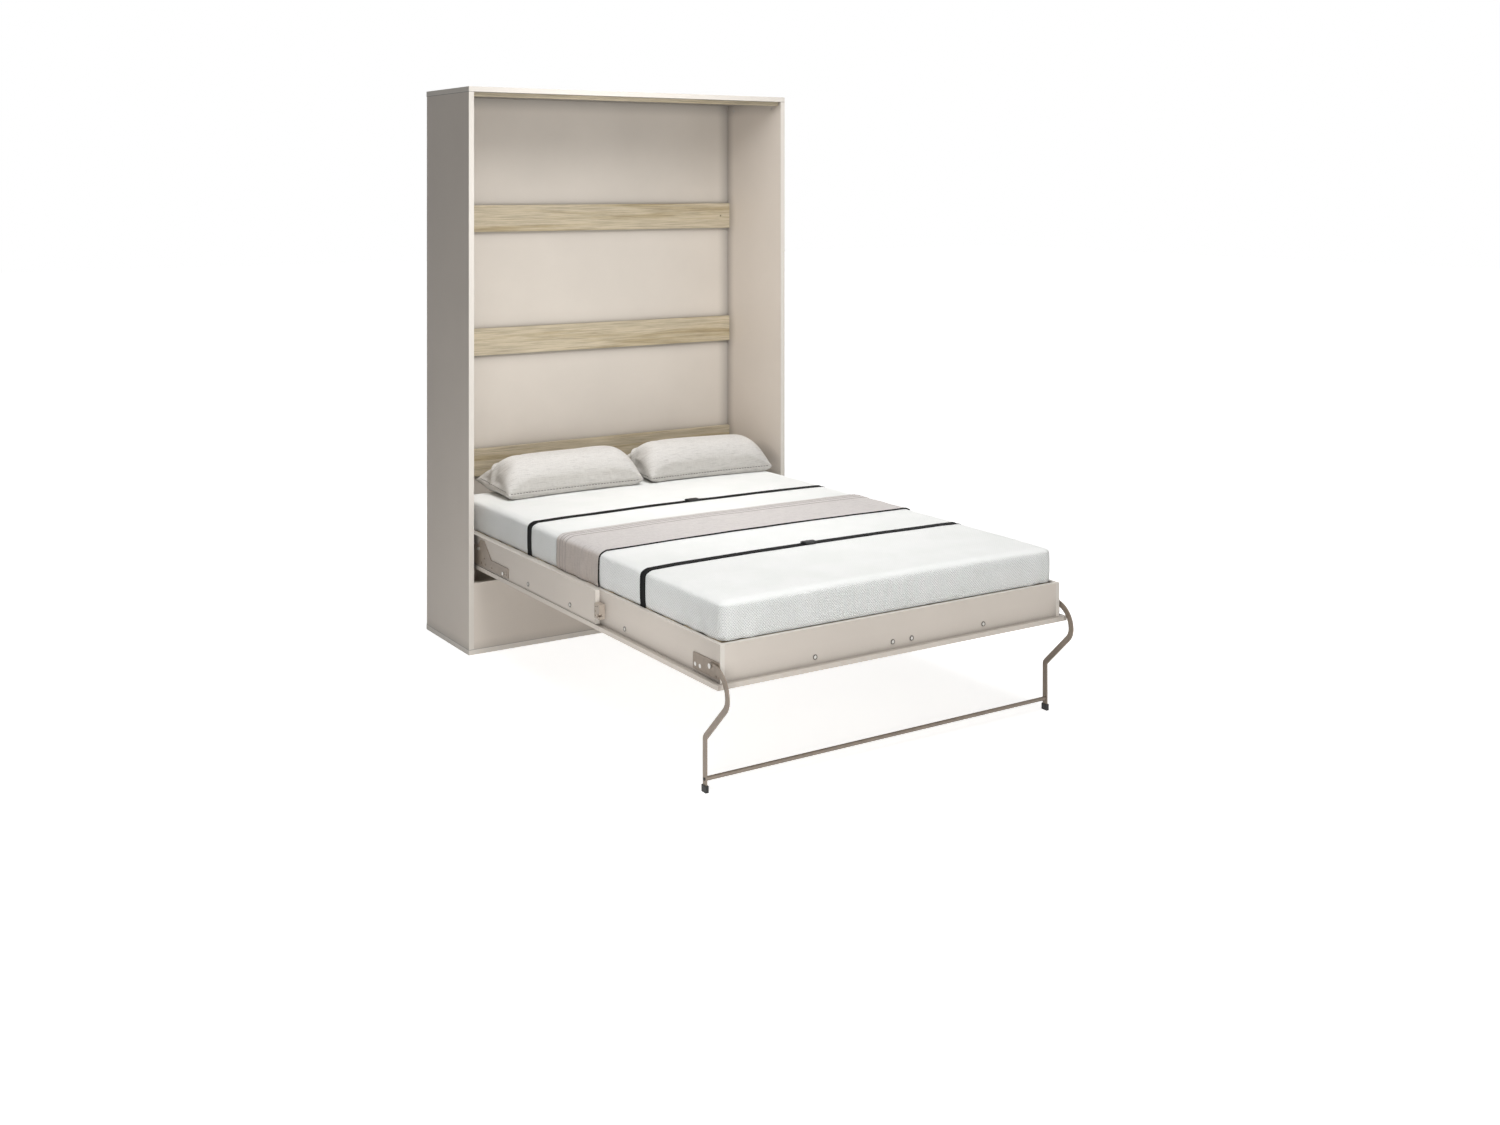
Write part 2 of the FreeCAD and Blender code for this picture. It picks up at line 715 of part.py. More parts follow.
def corner_connectors():
    """The blocks that draw the bed's two halves together, with five screw holes and a hook slot."""
    head = "outer_rail_foot_out + connector_gap"
    foot = f"{head} + connector_length"
    low = "panel_top + connector_lift"
    high = f"{low} + connector_height"
    outer = "skin_outer + connector_width"
    middle_out = f"{head} + connector_length / 2"
    connectors = []
    for name, side in SIDES:
        body = block("connector_body_" + name, sided(side, "skin_outer", outer), (head, foot), (low, high))
        pad_x = sided(side, "skin_outer + connector_slot_width / 2", f"{outer} - connector_slot_width / 3")
        pad = block("connector_pad_" + name, pad_x, (foot, f"{foot} + connector_pad"),
                    (f"{low} + connector_height * 11 / 20", f"{high} - connector_slot_height / 3"))
        tools = []
        for number, (share_out, share_up) in enumerate(CONNECTOR_HOLE_SHARES):
            tools.append(crosswise(f"connector_hole_{name}_{number}", side, f"{outer} - connector_hole_depth",
                                   f"{outer} + overrun", f"{head} + connector_length * {share_out}",
                                   f"{low} + connector_height * {share_up}", "connector_hole_radius"))
        slot_x = sided(side, f"{outer} - connector_slot_width", f"{outer} + overrun")
        tools.append(block("connector_slot_" + name, slot_x, (middle_out, f"{foot} + overrun + connector_pad"),
                           (f"{low} + connector_slot_height", f"{low} + 2 * connector_slot_height")))
        blank = joined("connector_blank_" + name, [body, pad])
        connectors.append(bored("connector_" + name, blank, tools))
    keep("corner_connectors", group("connectors", connectors))


CONNECTOR_HOLE_SHARES = ((0.2, 0.8), (0.2, 0.5), (0.2, 0.2), (0.62, 0.88), (0.62, 0.12))


def rail_caps():
    """Small round covers over the bolts through the foot rail and the side rails."""
    caps = []
    for number, x in enumerate(("foot_cap_in - mattress_half", "-foot_cap_near", "foot_cap_near",
                                "mattress_half - foot_cap_in")):
        caps.append(dowel(f"foot_cap_{number}", OUTWARD, (x, "foot_outer", "cap_line"), "rail_cap_proud",
                          "rail_cap_radius"))
    for name, side in SIDES:
        for middle, face in (("head", "double_outer"), ("seam", "double_outer"), ("foot", "skin_outer")):
            caps.append(crosswise(f"side_cap_{name}_{middle}", side, face, f"{face} + rail_cap_proud",
                                  f"cross_rail_{middle}_out", "cap_line", "rail_cap_radius"))
    keep("rail_caps", group("caps", caps))


# Folding legs

def leg_brackets():
    outline = rectangle(("bracket_head_out", "foot_outer - bracket_foot_gap"),
                        ("bracket_under", "bracket_under + bracket_height"))
    height = "bracket_under + bracket_slot_height"
    holes = [
        ("leg_pivot_out", "leg_pivot_height", "leg_bolt_radius"),
        ("bracket_head_out + bracket_slot_near", height, "bracket_slot_radius"),
        ("bracket_head_out + bracket_slot_far", height, "bracket_slot_radius"),
        ("leg_pivot_out + bracket_slot_height * 3 / 2", "bracket_under + bracket_slot_height / 2",
         "bracket_slot_radius / 2"),
    ]
    bolts = []
    screws = []
    for name, side in SIDES:
        keep(f"leg_bracket_{name}", steel_plate("bracket_" + name, side, "skin_outer", "steel", outline, holes,
                                                "bracket_corner"))
        for number, along in enumerate(("bracket_slot_near", "bracket_slot_far")):
            screws.append(crosswise(f"bracket_screw_{name}_{number}", side, "skin_outer",
                                    "bracket_outer + leg_side_gap / 3", f"bracket_head_out + {along}", height,
                                    "bracket_slot_radius - running_fit"))
        shaft = crosswise("leg_bolt_" + name, side, "skin_inner", "leg_outer + axial_gap", "leg_pivot_out",
                          "leg_pivot_height", "leg_bolt_radius")
        washer = crosswise("leg_washer_" + name, side, "bracket_outer", "leg_inner - axial_gap",
                           "leg_pivot_out", "leg_pivot_height", "leg_washer_radius")
        head = crosswise("leg_bolt_head_" + name, side, "leg_outer + axial_gap",
                         "leg_outer + axial_gap + leg_bolt_head", "leg_pivot_out", "leg_pivot_height",
                         "leg_bolt_head_radius")
        bolts.append(joined("leg_bolt_whole_" + name, [shaft, washer, head]))
    keep("leg_pivot_bolts", group("leg_bolts", bolts))
    keep("leg_bracket_screws", group("bracket_screws", screws))


def leg_path():
    """The middle line of a leg: out past the panel's edge, round the knee, back in and down."""
    knee = at("leg_knee_radius")
    calf = at("leg_calf_radius")
    ankle = at("leg_ankle_radius")
    slant = math.sqrt(0.5)
    start = FreeCAD.Vector(0, at("leg_pivot_out"), at("leg_pivot_height"))
    turn = start + FreeCAD.Vector(0, at("leg_run_out"), 0)
    knee_middle = turn + FreeCAD.Vector(0, 0, -knee)
    knee_half = knee_middle + FreeCAD.Vector(0, knee * slant, knee * slant)
    front = knee_middle + FreeCAD.Vector(0, knee, 0)
    calf_middle = front + FreeCAD.Vector(0, -calf, 0)
    eighth = math.pi / 8
    calf_half = calf_middle + FreeCAD.Vector(0, calf * math.cos(eighth), -calf * math.sin(eighth))
    calf_end = calf_middle + FreeCAD.Vector(0, calf * slant, -calf * slant)
    foot_out = at("leg_foot_out")
    bend = FreeCAD.Vector(0, foot_out, calf_end.z - (calf_end.y - foot_out))
    trim = ankle * math.tan(eighth)
    ankle_start = bend + FreeCAD.Vector(0, trim * slant, trim * slant)
    ankle_end = bend + FreeCAD.Vector(0, 0, -trim)
    ankle_middle = ankle_end + FreeCAD.Vector(0, ankle, 0)
    ankle_half = ankle_middle + FreeCAD.Vector(0, -ankle * math.cos(eighth), ankle * math.sin(eighth))
    sole = FreeCAD.Vector(0, foot_out, at("leg_sole_gap"))
    pieces = [
        Part.LineSegment(start, turn),
        Part.Arc(turn, knee_half, front),
        Part.Arc(front, calf_half, calf_end),
        Part.LineSegment(calf_end, ankle_start),
        Part.Arc(ankle_start, ankle_half, ankle_end),
        Part.LineSegment(ankle_end, sole + FreeCAD.Vector(0, 0, at("leg_bar_width / 2"))),
    ]
    return Part.Wire([piece.toShape() for piece in pieces])


def legs():
    """A bent flat bar on each side, joined near the floor by a round crossbar."""
    half_bar = at("leg_bar_width / 2")
    outline = leg_path().makeOffset2D(half_bar, 0, False, False)
    flat = Part.Face(outline).extrude(FreeCAD.Vector(at("leg_bar_thick"), 0, 0))
    turned = FreeCAD.Matrix(1, 0, 0, 0, 0, -1, 0, at("half_depth"), 0, 0, 1, 0)
    flat = flat.transformGeometry(turned)
    screws = []
    caps = []
    for name, side in SIDES:
        bar = flat.copy()
        bar.translate(FreeCAD.Vector(at(sided(side, "leg_inner", "leg_outer")[0]), 0, 0))
        eye = Part.makeCylinder(at("leg_bolt_radius + running_fit"), at("leg_bar_thick + 2 * overrun"),
                                spot(sided(side, "leg_inner - overrun", "leg_outer + overrun")[0],
                                     "leg_pivot_out", "leg_pivot_height"), FreeCAD.Vector(1, 0, 0))
        made(f"leg_arm_{name}", bar.cut(eye))
        caps.append(foot_cap(name, side))
        screws.append(crosswise("crossbar_screw_" + name, side, "leg_outer",
                                "leg_outer + crossbar_screw_head", "leg_foot_out", "crossbar_height",
                                "crossbar_screw_radius"))
    keep("leg_crossbar", dowel("crossbar", ACROSS, ("-leg_inner", "leg_foot_out", "crossbar_height"),
                               "2 * leg_inner", "crossbar_radius"))
    keep("crossbar_screws", group("bar_screws", screws))
    keep("leg_foot_caps", group("shoes", caps))


def foot_cap(name, side):
    """A rubber shoe that the bar's rounded end stands in."""
    half_bar = "leg_bar_width / 2"
    near = f"leg_foot_out - {half_bar} - leg_cap_wall"
    far = f"leg_foot_out + {half_bar} + leg_cap_wall"
    shoe = block("shoe_" + name, sided(side, "leg_inner - leg_cap_wall", "leg_outer + leg_cap_wall"),
                 (near, far), ("0", "leg_cap_height"))
    pocket = block("shoe_pocket_" + name, sided(side, "leg_inner", "leg_outer"),
                   (f"leg_foot_out - {half_bar}", f"leg_foot_out + {half_bar}"),
                   (f"leg_sole_gap + {half_bar}", "leg_cap_height + overrun"))
    toe = crosswise("shoe_toe_" + name, side, "leg_inner", "leg_outer", "leg_foot_out",
                    f"leg_sole_gap + {half_bar}", half_bar)
    return bored("shoe_bored_" + name, shoe, [pocket, toe])


# Gas struts

def strut_frame(side):
    """Where a strut starts and how it is turned: its own Z runs from the anchor to the stud."""
    turn = 90 + math.degrees(math.atan2(at("strut_down"), at("strut_across")))
    middle = spot("strut_middle" if side > 0 else "-strut_middle", "anchor_out", "anchor_height")
    return FreeCAD.Placement(middle, FreeCAD.Rotation(FreeCAD.Vector(1, 0, 0), turn))


def turned_part(name, profile, side):
    """A round part: half its section, as pairs of radius and place along, turned about its axis."""
    body = DOC.addObject("PartDesign::Body", name)
    plane = next(item for item in body.Origin.OriginFeatures if item.Role == "XZ_Plane")
    sketch = body.newObject("Sketcher::SketchObject", name + "_section")
    sketch.AttachmentSupport = (plane, [""])
    sketch.MapMode = "FlatFace"
    points = [FreeCAD.Vector(at(radius), at(along), 0) for radius, along in profile]
    for point, following in zip(points, points[1:] + points[:1]):
        sketch.addGeometry(Part.LineSegment(point, following))
    for index, words in enumerate(profile):
        sketch.addConstraint(Sketcher.Constraint("Coincident", index, 2, (index + 1) % len(profile), 1))
        for kind, expression in zip(("DistanceX", "DistanceY"), words):
            held = sketch.addConstraint(Sketcher.Constraint(kind, index, 1, at(expression)))
            tie(sketch, f"Constraints[{held}]", expression)
    spin = body.newObject("PartDesign::Revolution", name + "_turned")
    spin.Profile = sketch
    spin.ReferenceAxis = (sketch, ["V_Axis"])
    spin.Angle = 360
    body.Tip = spin
    body.Placement = strut_frame(side)
    return body


def struts():
    """A gas spring on each side: a tube that hangs on the anchor and a rod that pushes the lever."""
    bore = "strut_radius - strut_wall"
    rod_bore = "rod_radius + running_fit"
    tube_profile = [
        ("0", "strut_tube_start"),
        ("strut_radius", "strut_tube_start"),
        ("strut_radius", "tube_end"),
        (rod_bore, "tube_end"),
        (rod_bore, "tube_end - strut_gland"),
        (bore, "tube_end - strut_gland"),
        (bore, "strut_tube_start + strut_end_cap"),
        ("0", "strut_tube_start + strut_end_cap"),
    ]
    piston = "strut_tube_start + strut_end_cap + piston_start"
    rod_profile = [
        ("0", piston),
        (f"{bore} - piston_gap", piston),
        (f"{bore} - piston_gap", f"{piston} + piston_thick"),
        ("rod_radius", f"{piston} + piston_thick"),
        ("rod_radius", "strut_reach - rod_radius / 2"),
        ("0", "strut_reach - rod_radius / 2"),
    ]
    neck_profile = [
        ("0", "0"),
        ("strut_neck_radius", "0"),
        ("strut_neck_radius", "strut_tube_start"),
        ("0", "strut_tube_start"),
    ]
    for name, side in SIDES:
        tube = turned_part("strut_tube_" + name, tube_profile, side)
        neck = turned_part("strut_neck_" + name, neck_profile, side)
        eye = crosswise("strut_eye_" + name, side, "eye_inner", "eye_outer", "anchor_out", "anchor_height",
                        "strut_eye_radius")
        hole = crosswise("strut_eye_hole_" + name, side, "eye_inner - overrun", "eye_outer + overrun",
                         "anchor_out", "anchor_height", "stud_radius + running_fit")
        whole = joined("strut_whole_" + name, [tube, neck, eye])
        keep(f"strut_cylinder_{name}", bored("strut_cylinder_bored_" + name, whole, [hole]))
        rod = turned_part("strut_piston_" + name, rod_profile, side)
        socket = crosswise("strut_socket_" + name, side, "eye_inner", "eye_outer", "stud_out", "pivot_height",
                           "rod_end_radius")
        keep(f"strut_rod_{name}", joined("strut_rod_whole_" + name, [rod, socket]))


# Bedding

def skin_line(gap, lowest):
    """The mattress's skin seen from the foot, or a line a gap outside it, from one side over to the other."""
    half = at("mattress_half") + gap
    high = at("mattress_top - mattress_crown") + gap
    bend = at("mattress_round") + gap
    inset = bend * (1 - math.sqrt(0.5))
    half_line = [(half, lowest), (half, high - bend), (half - inset, high - inset), (half - bend, high)]
    foot, start, turn, crown = [FreeCAD.Vector(x, 0, z) for x, z in half_line]
    far_foot, far_start, far_turn, far_crown = [FreeCAD.Vector(-x, 0, z) for x, z in half_line]
    return [
        Part.LineSegment(foot, start),
        Part.Arc(start, turn, crown),
        Part.Arc(crown, FreeCAD.Vector(0, 0, at("mattress_top") + gap), far_crown),
        Part.Arc(far_crown, far_turn, far_start),
        Part.LineSegment(far_start, far_foot),
    ]


def hem_line():
    """The mattress's underside and its two small lower roundings, from left to right."""
    half = at("mattress_half")
    low = at("mattress_under")
    bend = at("mattress_hem_round")
    inset = bend * (1 - math.sqrt(0.5))
    point = FreeCAD.Vector
    return [
        Part.Arc(point(-half, 0, low + bend), point(inset - half, 0, low + inset), point(bend - half, 0, low)),
        Part.LineSegment(point(bend - half, 0, low), point(half - bend, 0, low)),
        Part.Arc(point(half - bend, 0, low), point(half - inset, 0, low + inset), point(half, 0, low + bend)),
    ]


def closed_wire(pieces):
    return Part.Wire([piece.toShape() for piece in pieces])


def stretched(outline, near, far):
    """An outline seen from the foot, drawn out between two distances from the wall."""
    face = Part.Face(outline)
    face.translate(FreeCAD.Vector(0, at("half_depth") - at(far), 0))
    return face.extrude(FreeCAD.Vector(0, at(far) - at(near), 0))


def mattress():
    """A foam mattress: crowned top, rounded long edges and softer rounded ends."""
    outline = closed_wire(skin_line(0, at("mattress_under + mattress_hem_round")) + hem_line())
    foam = stretched(outline, "mattress_head", "mattress_foot")
    ends = [face for face in foam.Faces if faces_along(face)]
    upper = [edge for face in ends for edge in face.Edges
             if edge.BoundBox.ZMax > at("mattress_under + mattress_height / 2")]
    made("mattress", foam.makeFillet(at("mattress_end_round"), upper))


def band(name, near, far, gap, thick, lowest):
    """Cloth or webbing laid over the mattress and hung down both of its sides."""
    half = at("mattress_half") + gap
    point = FreeCAD.Vector
    left = Part.LineSegment(point(-half - thick, 0, lowest), point(-half, 0, lowest))
    right = Part.LineSegment(point(half, 0, lowest), point(half + thick, 0, lowest))
    pieces = skin_line(gap + thick, lowest) + [left] + skin_line(gap, lowest)[::-1] + [right]
    made(name, stretched(closed_wire(pieces), near, far))


def runner_and_straps():
    hang = at("rail_top + hang_gap")
    gap = at("lay")
    band("bed_runner", "runner_head_out", "runner_head_out + runner_width", gap, at("runner_thick"), hang)
    buckles = []
    for name in ("head", "foot"):
        middle = f"strap_{name}_out"
        band(f"strap_{name}", f"{middle} - strap_width / 2", f"{middle} + strap_width / 2", gap,
             at("strap_thick"), hang)
        buckles.append(buckle(name, middle))
    keep("strap_buckles", group("buckle_pair", buckles))


def buckle(name, middle):
    """A small side-release buckle that the strap runs under."""
    low = "bed_top + strap_thick + lay"
    across = f"buckle_{name}_middle"
    x = (f"{across} - buckle_length / 2", f"{across} + buckle_length / 2")
    out = (f"{middle} - buckle_width / 2", f"{middle} + buckle_width / 2")
    body = block("buckle_blank_" + name, x, out, (low, f"{low} + buckle_thick"))
    DOC.recompute()
    rounded = DOC.addObject("Part::Fillet", "buckle_" + name)
    rounded.Base = body
    radius = at("buckle_round")
    upright = [number for number, edge in enumerate(body.Shape.Edges, start=1) if runs_up(edge)]
    rounded.Edges = [(number, radius, radius) for number in upright]
    return rounded


PILLOW_STATION_SHARES = (-1.0, -0.95, -0.86, -0.66, -0.34, 0.0, 0.34, 0.66, 0.86, 0.95, 1.0)


def bed_height(x):
    """How high the mattress lies at a distance from the middle, with room for the pillow to rest on it."""
    crown = at("mattress_crown")
    reach = at("mattress_half - mattress_round")
    radius = (reach ** 2 + crown ** 2) / (2 * crown)
    return at("bed_top") - radius + math.sqrt(radius ** 2 - x ** 2)


def pillow(name, middle):
    """A stuffed pillow: sections across its width, fullest in the middle and drawn in at the seam."""
    half = at("pillow_width / 2")
    places = [(share, middle + share * half) for share in PILLOW_STATION_SHARES]
    sections = [pillow_section(share, x, bed_height(x)) for share, x in places]
    made(f"pillow_{name}", Part.makeLoft(sections, True, False))


def pillow_section(share, x, bed):
    """One closed section: crest, seams front and back, and the flat that lies on the mattress."""
    power = at("pillow_left_share" if share < 0 else "pillow_right_share")
    full = max(math.sqrt(1 - abs(share) ** power), at("pillow_tip") / at("pillow_height"))
    draw = at("pillow_draw_in") * (1 - share * share)
    front = (at("pillow_front_out") - draw, bed + at("pillow_front_seam"))
    back = (at("pillow_back_out") + draw, bed + at("pillow_back_seam"))
    crest_out = at("pillow_crest_out")
    crest_high = bed + at("pillow_height")
    reach = math.hypot(at("pivot_out") - crest_out, crest_high - at("pivot_height"))
    back_half_out = (crest_out + back[0]) / 2
    back_half = math.sqrt(reach ** 2 - (at("pivot_out") - back_half_out) ** 2) + at("pivot_height")
    rise = crest_high - front[1]
    run = front[0] - crest_out
    bulge = at("pillow_bulge_share")
    tops = [
        front,
        (front[0] - run / 2 + rise * bulge, front[1] + rise / 2 + run * bulge),
        (crest_out, crest_high),
        (back_half_out, back_half - at("pillow_swing_ease")),
        back,
        (at("pillow_back_out + pillow_flat_back_in"), bed),
        (at("pillow_front_out - pillow_flat_front_in"), bed),
    ]
    spots = []
    for number, (out, height) in enumerate(tops):
        share_up = (out - back[0]) / (front[0] - back[0])
        seam = back[1] + (front[1] - back[1]) * share_up
        spots.append(FreeCAD.Vector(x, at("half_depth") - out, seam + (height - seam) * full))
    edges = [
        Part.Arc(spots[0], spots[1], spots[2]),
        Part.Arc(spots[2], spots[3], spots[4]),
        Part.LineSegment(spots[4], spots[5]),
        Part.LineSegment(spots[5], spots[6]),
        Part.LineSegment(spots[6], spots[0]),
    ]
    return Part.Wire([edge.toShape() for edge in edges])


def check_and_write():
    """Stop if anything failed to build; otherwise write each sub-part under its own name."""
    DOC.recompute()
    for thing in DOC.Objects:
        if {"Invalid", "Error"} & set(thing.State):
            raise RuntimeError(f"{thing.Label} failed to build")
    os.makedirs("parts", exist_ok=True)
    for name, thing in NODES.items():
        if thing.Shape.isNull() or not thing.Shape.isValid():
            raise RuntimeError(f"{name} has no valid shape")
        thing.Shape.exportStep(f"parts/{name}.step")
    print(len(NODES), "nodes written")


fill_sheet()
cabinet_boards()
cabinet_fittings()
cabinet_back()
cabinet_hinges()
strut_anchors()
facade()
bed_rails()
bed_supports()
slats()
hinge_plates()
strut_levers()
corner_connectors()
rail_caps()
leg_brackets()
legs()
struts()
mattress()
pillow("left", at("pillow_left_middle"))
pillow("right", at("pillow_right_middle"))
runner_and_straps()
check_and_write()
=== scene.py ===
# %% [markdown]
# # A wall bed, folded down
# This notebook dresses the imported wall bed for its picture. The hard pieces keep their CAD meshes
# and only get a finish. The soft ones could be sculpted by hand, but here they are worked out from
# the boxes of the pieces they replace, so they follow when a size of the bed changes.

import json
import math

import bmesh
import bpy
import numpy as np
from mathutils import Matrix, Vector
from mathutils.bvhtree import BVHTree


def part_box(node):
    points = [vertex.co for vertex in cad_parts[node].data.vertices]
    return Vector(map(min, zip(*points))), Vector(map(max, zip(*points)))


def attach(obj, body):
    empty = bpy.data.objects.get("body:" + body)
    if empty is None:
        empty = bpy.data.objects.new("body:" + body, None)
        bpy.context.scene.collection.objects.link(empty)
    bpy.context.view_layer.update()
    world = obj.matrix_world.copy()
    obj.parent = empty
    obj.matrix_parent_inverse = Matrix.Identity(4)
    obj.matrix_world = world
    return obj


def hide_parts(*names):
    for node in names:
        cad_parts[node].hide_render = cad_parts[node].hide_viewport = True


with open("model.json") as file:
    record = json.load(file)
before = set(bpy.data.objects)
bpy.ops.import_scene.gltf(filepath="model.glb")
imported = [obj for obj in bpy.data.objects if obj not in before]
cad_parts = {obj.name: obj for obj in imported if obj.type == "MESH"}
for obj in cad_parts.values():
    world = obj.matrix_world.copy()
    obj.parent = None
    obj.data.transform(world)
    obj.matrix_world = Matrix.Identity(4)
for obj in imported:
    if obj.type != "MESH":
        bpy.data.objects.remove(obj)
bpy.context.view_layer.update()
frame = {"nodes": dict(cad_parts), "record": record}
nodes = frame["nodes"]

# %% [markdown]
# ## The camera
# The photograph keeps every upright parallel, so the camera is level and its frame is shifted down
# instead of being tilted. A tilted camera could show the same bed, but its uprights would lean. The
# lens and the place were worked out from the cabinet's corners.

# %% Camera
SENSOR_WIDTH_MM, LENS_MM = 36, 37.68
FRAME_SHIFT = (0.0333, -0.2522)
CAMERA_PLACE = (-3.3283, -6.0501, 1.8907)
CAMERA_HEADING = -32.05

camera_data = bpy.data.cameras.new("camera")
camera_data.sensor_width = SENSOR_WIDTH_MM
camera_data.lens = LENS_MM
camera_data.shift_x, camera_data.shift_y = FRAME_SHIFT
camera = bpy.data.objects.new("camera", camera_data)
camera.location = CAMERA_PLACE
camera.rotation_euler = (math.radians(90), 0, math.radians(CAMERA_HEADING))
bpy.context.scene.collection.objects.link(camera)
bpy.context.scene.camera = camera
bpy.context.scene.view_settings.view_transform = "Standard"
print("camera at", tuple(camera.location))

# %% [markdown]
# ## Lamps
# The real bed stands in soft light from above and in front, with its outer left side in shade. One
# bright sky could light it, but the recess and the shaded side would come out too pale. So two large
# soft lamps hang over the bed, a low one lights its foot and a small one its near side, and three weak
# ones fill the recess, the right side and the back. A lamp that would spill light has a narrow beam.

# %% Lamps
def aimed_lamp(name, place, target, size, power, spread=180):
    """A soft square lamp that points at a target, its beam as wide as the spread in degrees."""
    data = bpy.data.lights.new(name, "AREA")
    data.shape = "SQUARE"
    data.size = size
    data.energy = power
    data.spread = math.radians(spread)
    lamp = bpy.data.objects.new(name, data)
    lamp.location = place
    lamp.rotation_euler = (Vector(target) - Vector(place)).to_track_quat("-Z", "Y").to_euler()
    lamp.visible_camera = False
    bpy.context.scene.collection.objects.link(lamp)
    return lamp


LAMPS = [
    # name, place, target, width in metres, power in watts and, where it is narrow, the beam in degrees
    ("front_low_lamp", (0.1, -5.0, 0.7), (0.1, -1.2, 0.4), 0.9, 32),
    ("side_lamp", (-1.75, -2.4, 0.3), (-0.4, 0.0, 0.15), 0.9, 5.0, 90),
    ("over_lamp", (0.1, -1.6, 4.4), (0.0, -1.2, 0.4), 2.0, 61),
    ("over_foot_lamp", (-1.1, -2.8, 3.8), (-0.1, -1.8, 0.5), 1.6, 56),
    ("inside_lamp", (-0.35, -1.2, 1.9), (0.75, 0.0, 1.4), 0.6, 6.9),
    ("right_lamp", (3.6, 0.3, 1.2), (0.8, 0.0, 1.1), 1.2, 9, 60),
    ("behind_lamp", (0.9, 3.9, 1.3), (0.1, 0.2, 1.2), 1.6, 17, 70),
]
for lamp in LAMPS:
    aimed_lamp(*lamp)
print(len(LAMPS), "lamps")

# %% [markdown]
# ## Background
# The photograph's ground is plain white, yet the light that reaches the bed is dim and warm. White
# walls could be built, but they would throw their own light back at it. So the background has two
# faces: the camera and the gloss see white, and every other ray meets a weak warm light.

# %% Background
AMBIENT_COLOUR, AMBIENT_STRENGTH = (1.0, 0.955, 0.91, 1), 0.105


def looks_white(tree, own_light, seen_light):
    """Lets the camera, gloss and clear pieces see one shader, and everything else the other."""
    path = tree.nodes.new("ShaderNodeLightPath")
    seen = path.outputs["Is Camera Ray"]
    for ray in ("Is Glossy Ray", "Is Transmission Ray"):
        either = tree.nodes.new("ShaderNodeMath")
        either.operation = "MAXIMUM"
        tree.links.new(seen, either.inputs[0])
        tree.links.new(path.outputs[ray], either.inputs[1])
        seen = either.outputs[0]
    choice = tree.nodes.new("ShaderNodeMixShader")
    tree.links.new(seen, choice.inputs["Fac"])
    tree.links.new(own_light, choice.inputs[1])
    tree.links.new(seen_light, choice.inputs[2])
    return choice.outputs[0]


world = bpy.data.worlds.new("studio")
world.use_nodes = True
bpy.context.scene.world = world
world_tree = world.node_tree
world_tree.nodes.clear()
ambient = world_tree.nodes.new("ShaderNodeBackground")
ambient.inputs["Color"].default_value = AMBIENT_COLOUR
ambient.inputs["Strength"].default_value = AMBIENT_STRENGTH
backdrop = world_tree.nodes.new("ShaderNodeBackground")
backdrop.inputs["Color"].default_value = (1, 1, 1, 1)
backdrop.inputs["Strength"].default_value = 1.0
world_out = world_tree.nodes.new("ShaderNodeOutputWorld")
world_seen = looks_white(world_tree, ambient.outputs[0], backdrop.outputs[0])
world_tree.links.new(world_seen, world_out.inputs["Surface"])
print("ambient light", AMBIENT_STRENGTH, "of", AMBIENT_COLOUR)

# %% [markdown]
# ## Floor
# The floor of the photograph is as white as its ground, with only a trace of shadow. The camera could
# be shown no floor at all, but then the legs would seem to float. So the floor glows where the camera
# looks at it, a little less close to the bed, which leaves a faint shadow there.

# %% Floor
FLOOR_WIDTH = 60
GLOW_REACH, GLOW_MIDDLE_Y = 10.0, -1.0
GLOW_STOPS = [(0.70, 0.97), (0.86, 0.76)]

bpy.ops.mesh.primitive_plane_add(size=FLOOR_WIDTH, location=(0, 0, 0))
floor = bpy.context.active_object
floor.name = "floor"
floor_material = bpy.data.materials.new("pale_floor")
floor_material.use_nodes = True
floor_tree = floor_material.node_tree
floor_shader = floor_tree.nodes["Principled BSDF"]
floor_shader.inputs["Base Color"].default_value = (0.80, 0.80, 0.79, 1)
floor_shader.inputs["Roughness"].default_value = 0.9
floor_shader.inputs["Specular IOR Level"].default_value = 0.0
glow = floor_tree.nodes.new("ShaderNodeEmission")
spot = floor_tree.nodes.new("ShaderNodeTexCoord")
reach = floor_tree.nodes.new("ShaderNodeMapping")
reach.inputs["Location"].default_value = (0, -GLOW_MIDDLE_Y / GLOW_REACH, 0)
reach.inputs["Scale"].default_value = (1 / GLOW_REACH,) * 3
fall = floor_tree.nodes.new("ShaderNodeTexGradient")
fall.gradient_type = "SPHERICAL"
spread = floor_tree.nodes.new("ShaderNodeValToRGB")
for element, (position, level) in zip(spread.color_ramp.elements, GLOW_STOPS):
    element.position = position
    element.color = (level, level, level, 1)
floor_tree.links.new(spot.outputs["Object"], reach.inputs["Vector"])
floor_tree.links.new(reach.outputs["Vector"], fall.inputs["Vector"])
floor_tree.links.new(fall.outputs["Fac"], spread.inputs["Fac"])
floor_tree.links.new(spread.outputs["Color"], glow.inputs["Color"])
both = floor_tree.nodes.new("ShaderNodeAddShader")
floor_tree.links.new(floor_shader.outputs[0], both.inputs[0])
floor_tree.links.new(glow.outputs[0], both.inputs[1])
floor_tree.links.new(looks_white(floor_tree, floor_shader.outputs[0], both.outputs[0]),
                     floor_tree.nodes["Material Output"].inputs["Surface"])
floor.data.materials.append(floor_material)
print("floor", FLOOR_WIDTH, "metres wide")

# %% [markdown]
# ## Tools for materials
# A material starts as one shader, to which nodes are added and joined. That could be written out node
# by node each time. Four small helpers keep it short, so each finish below reads as its own recipe.

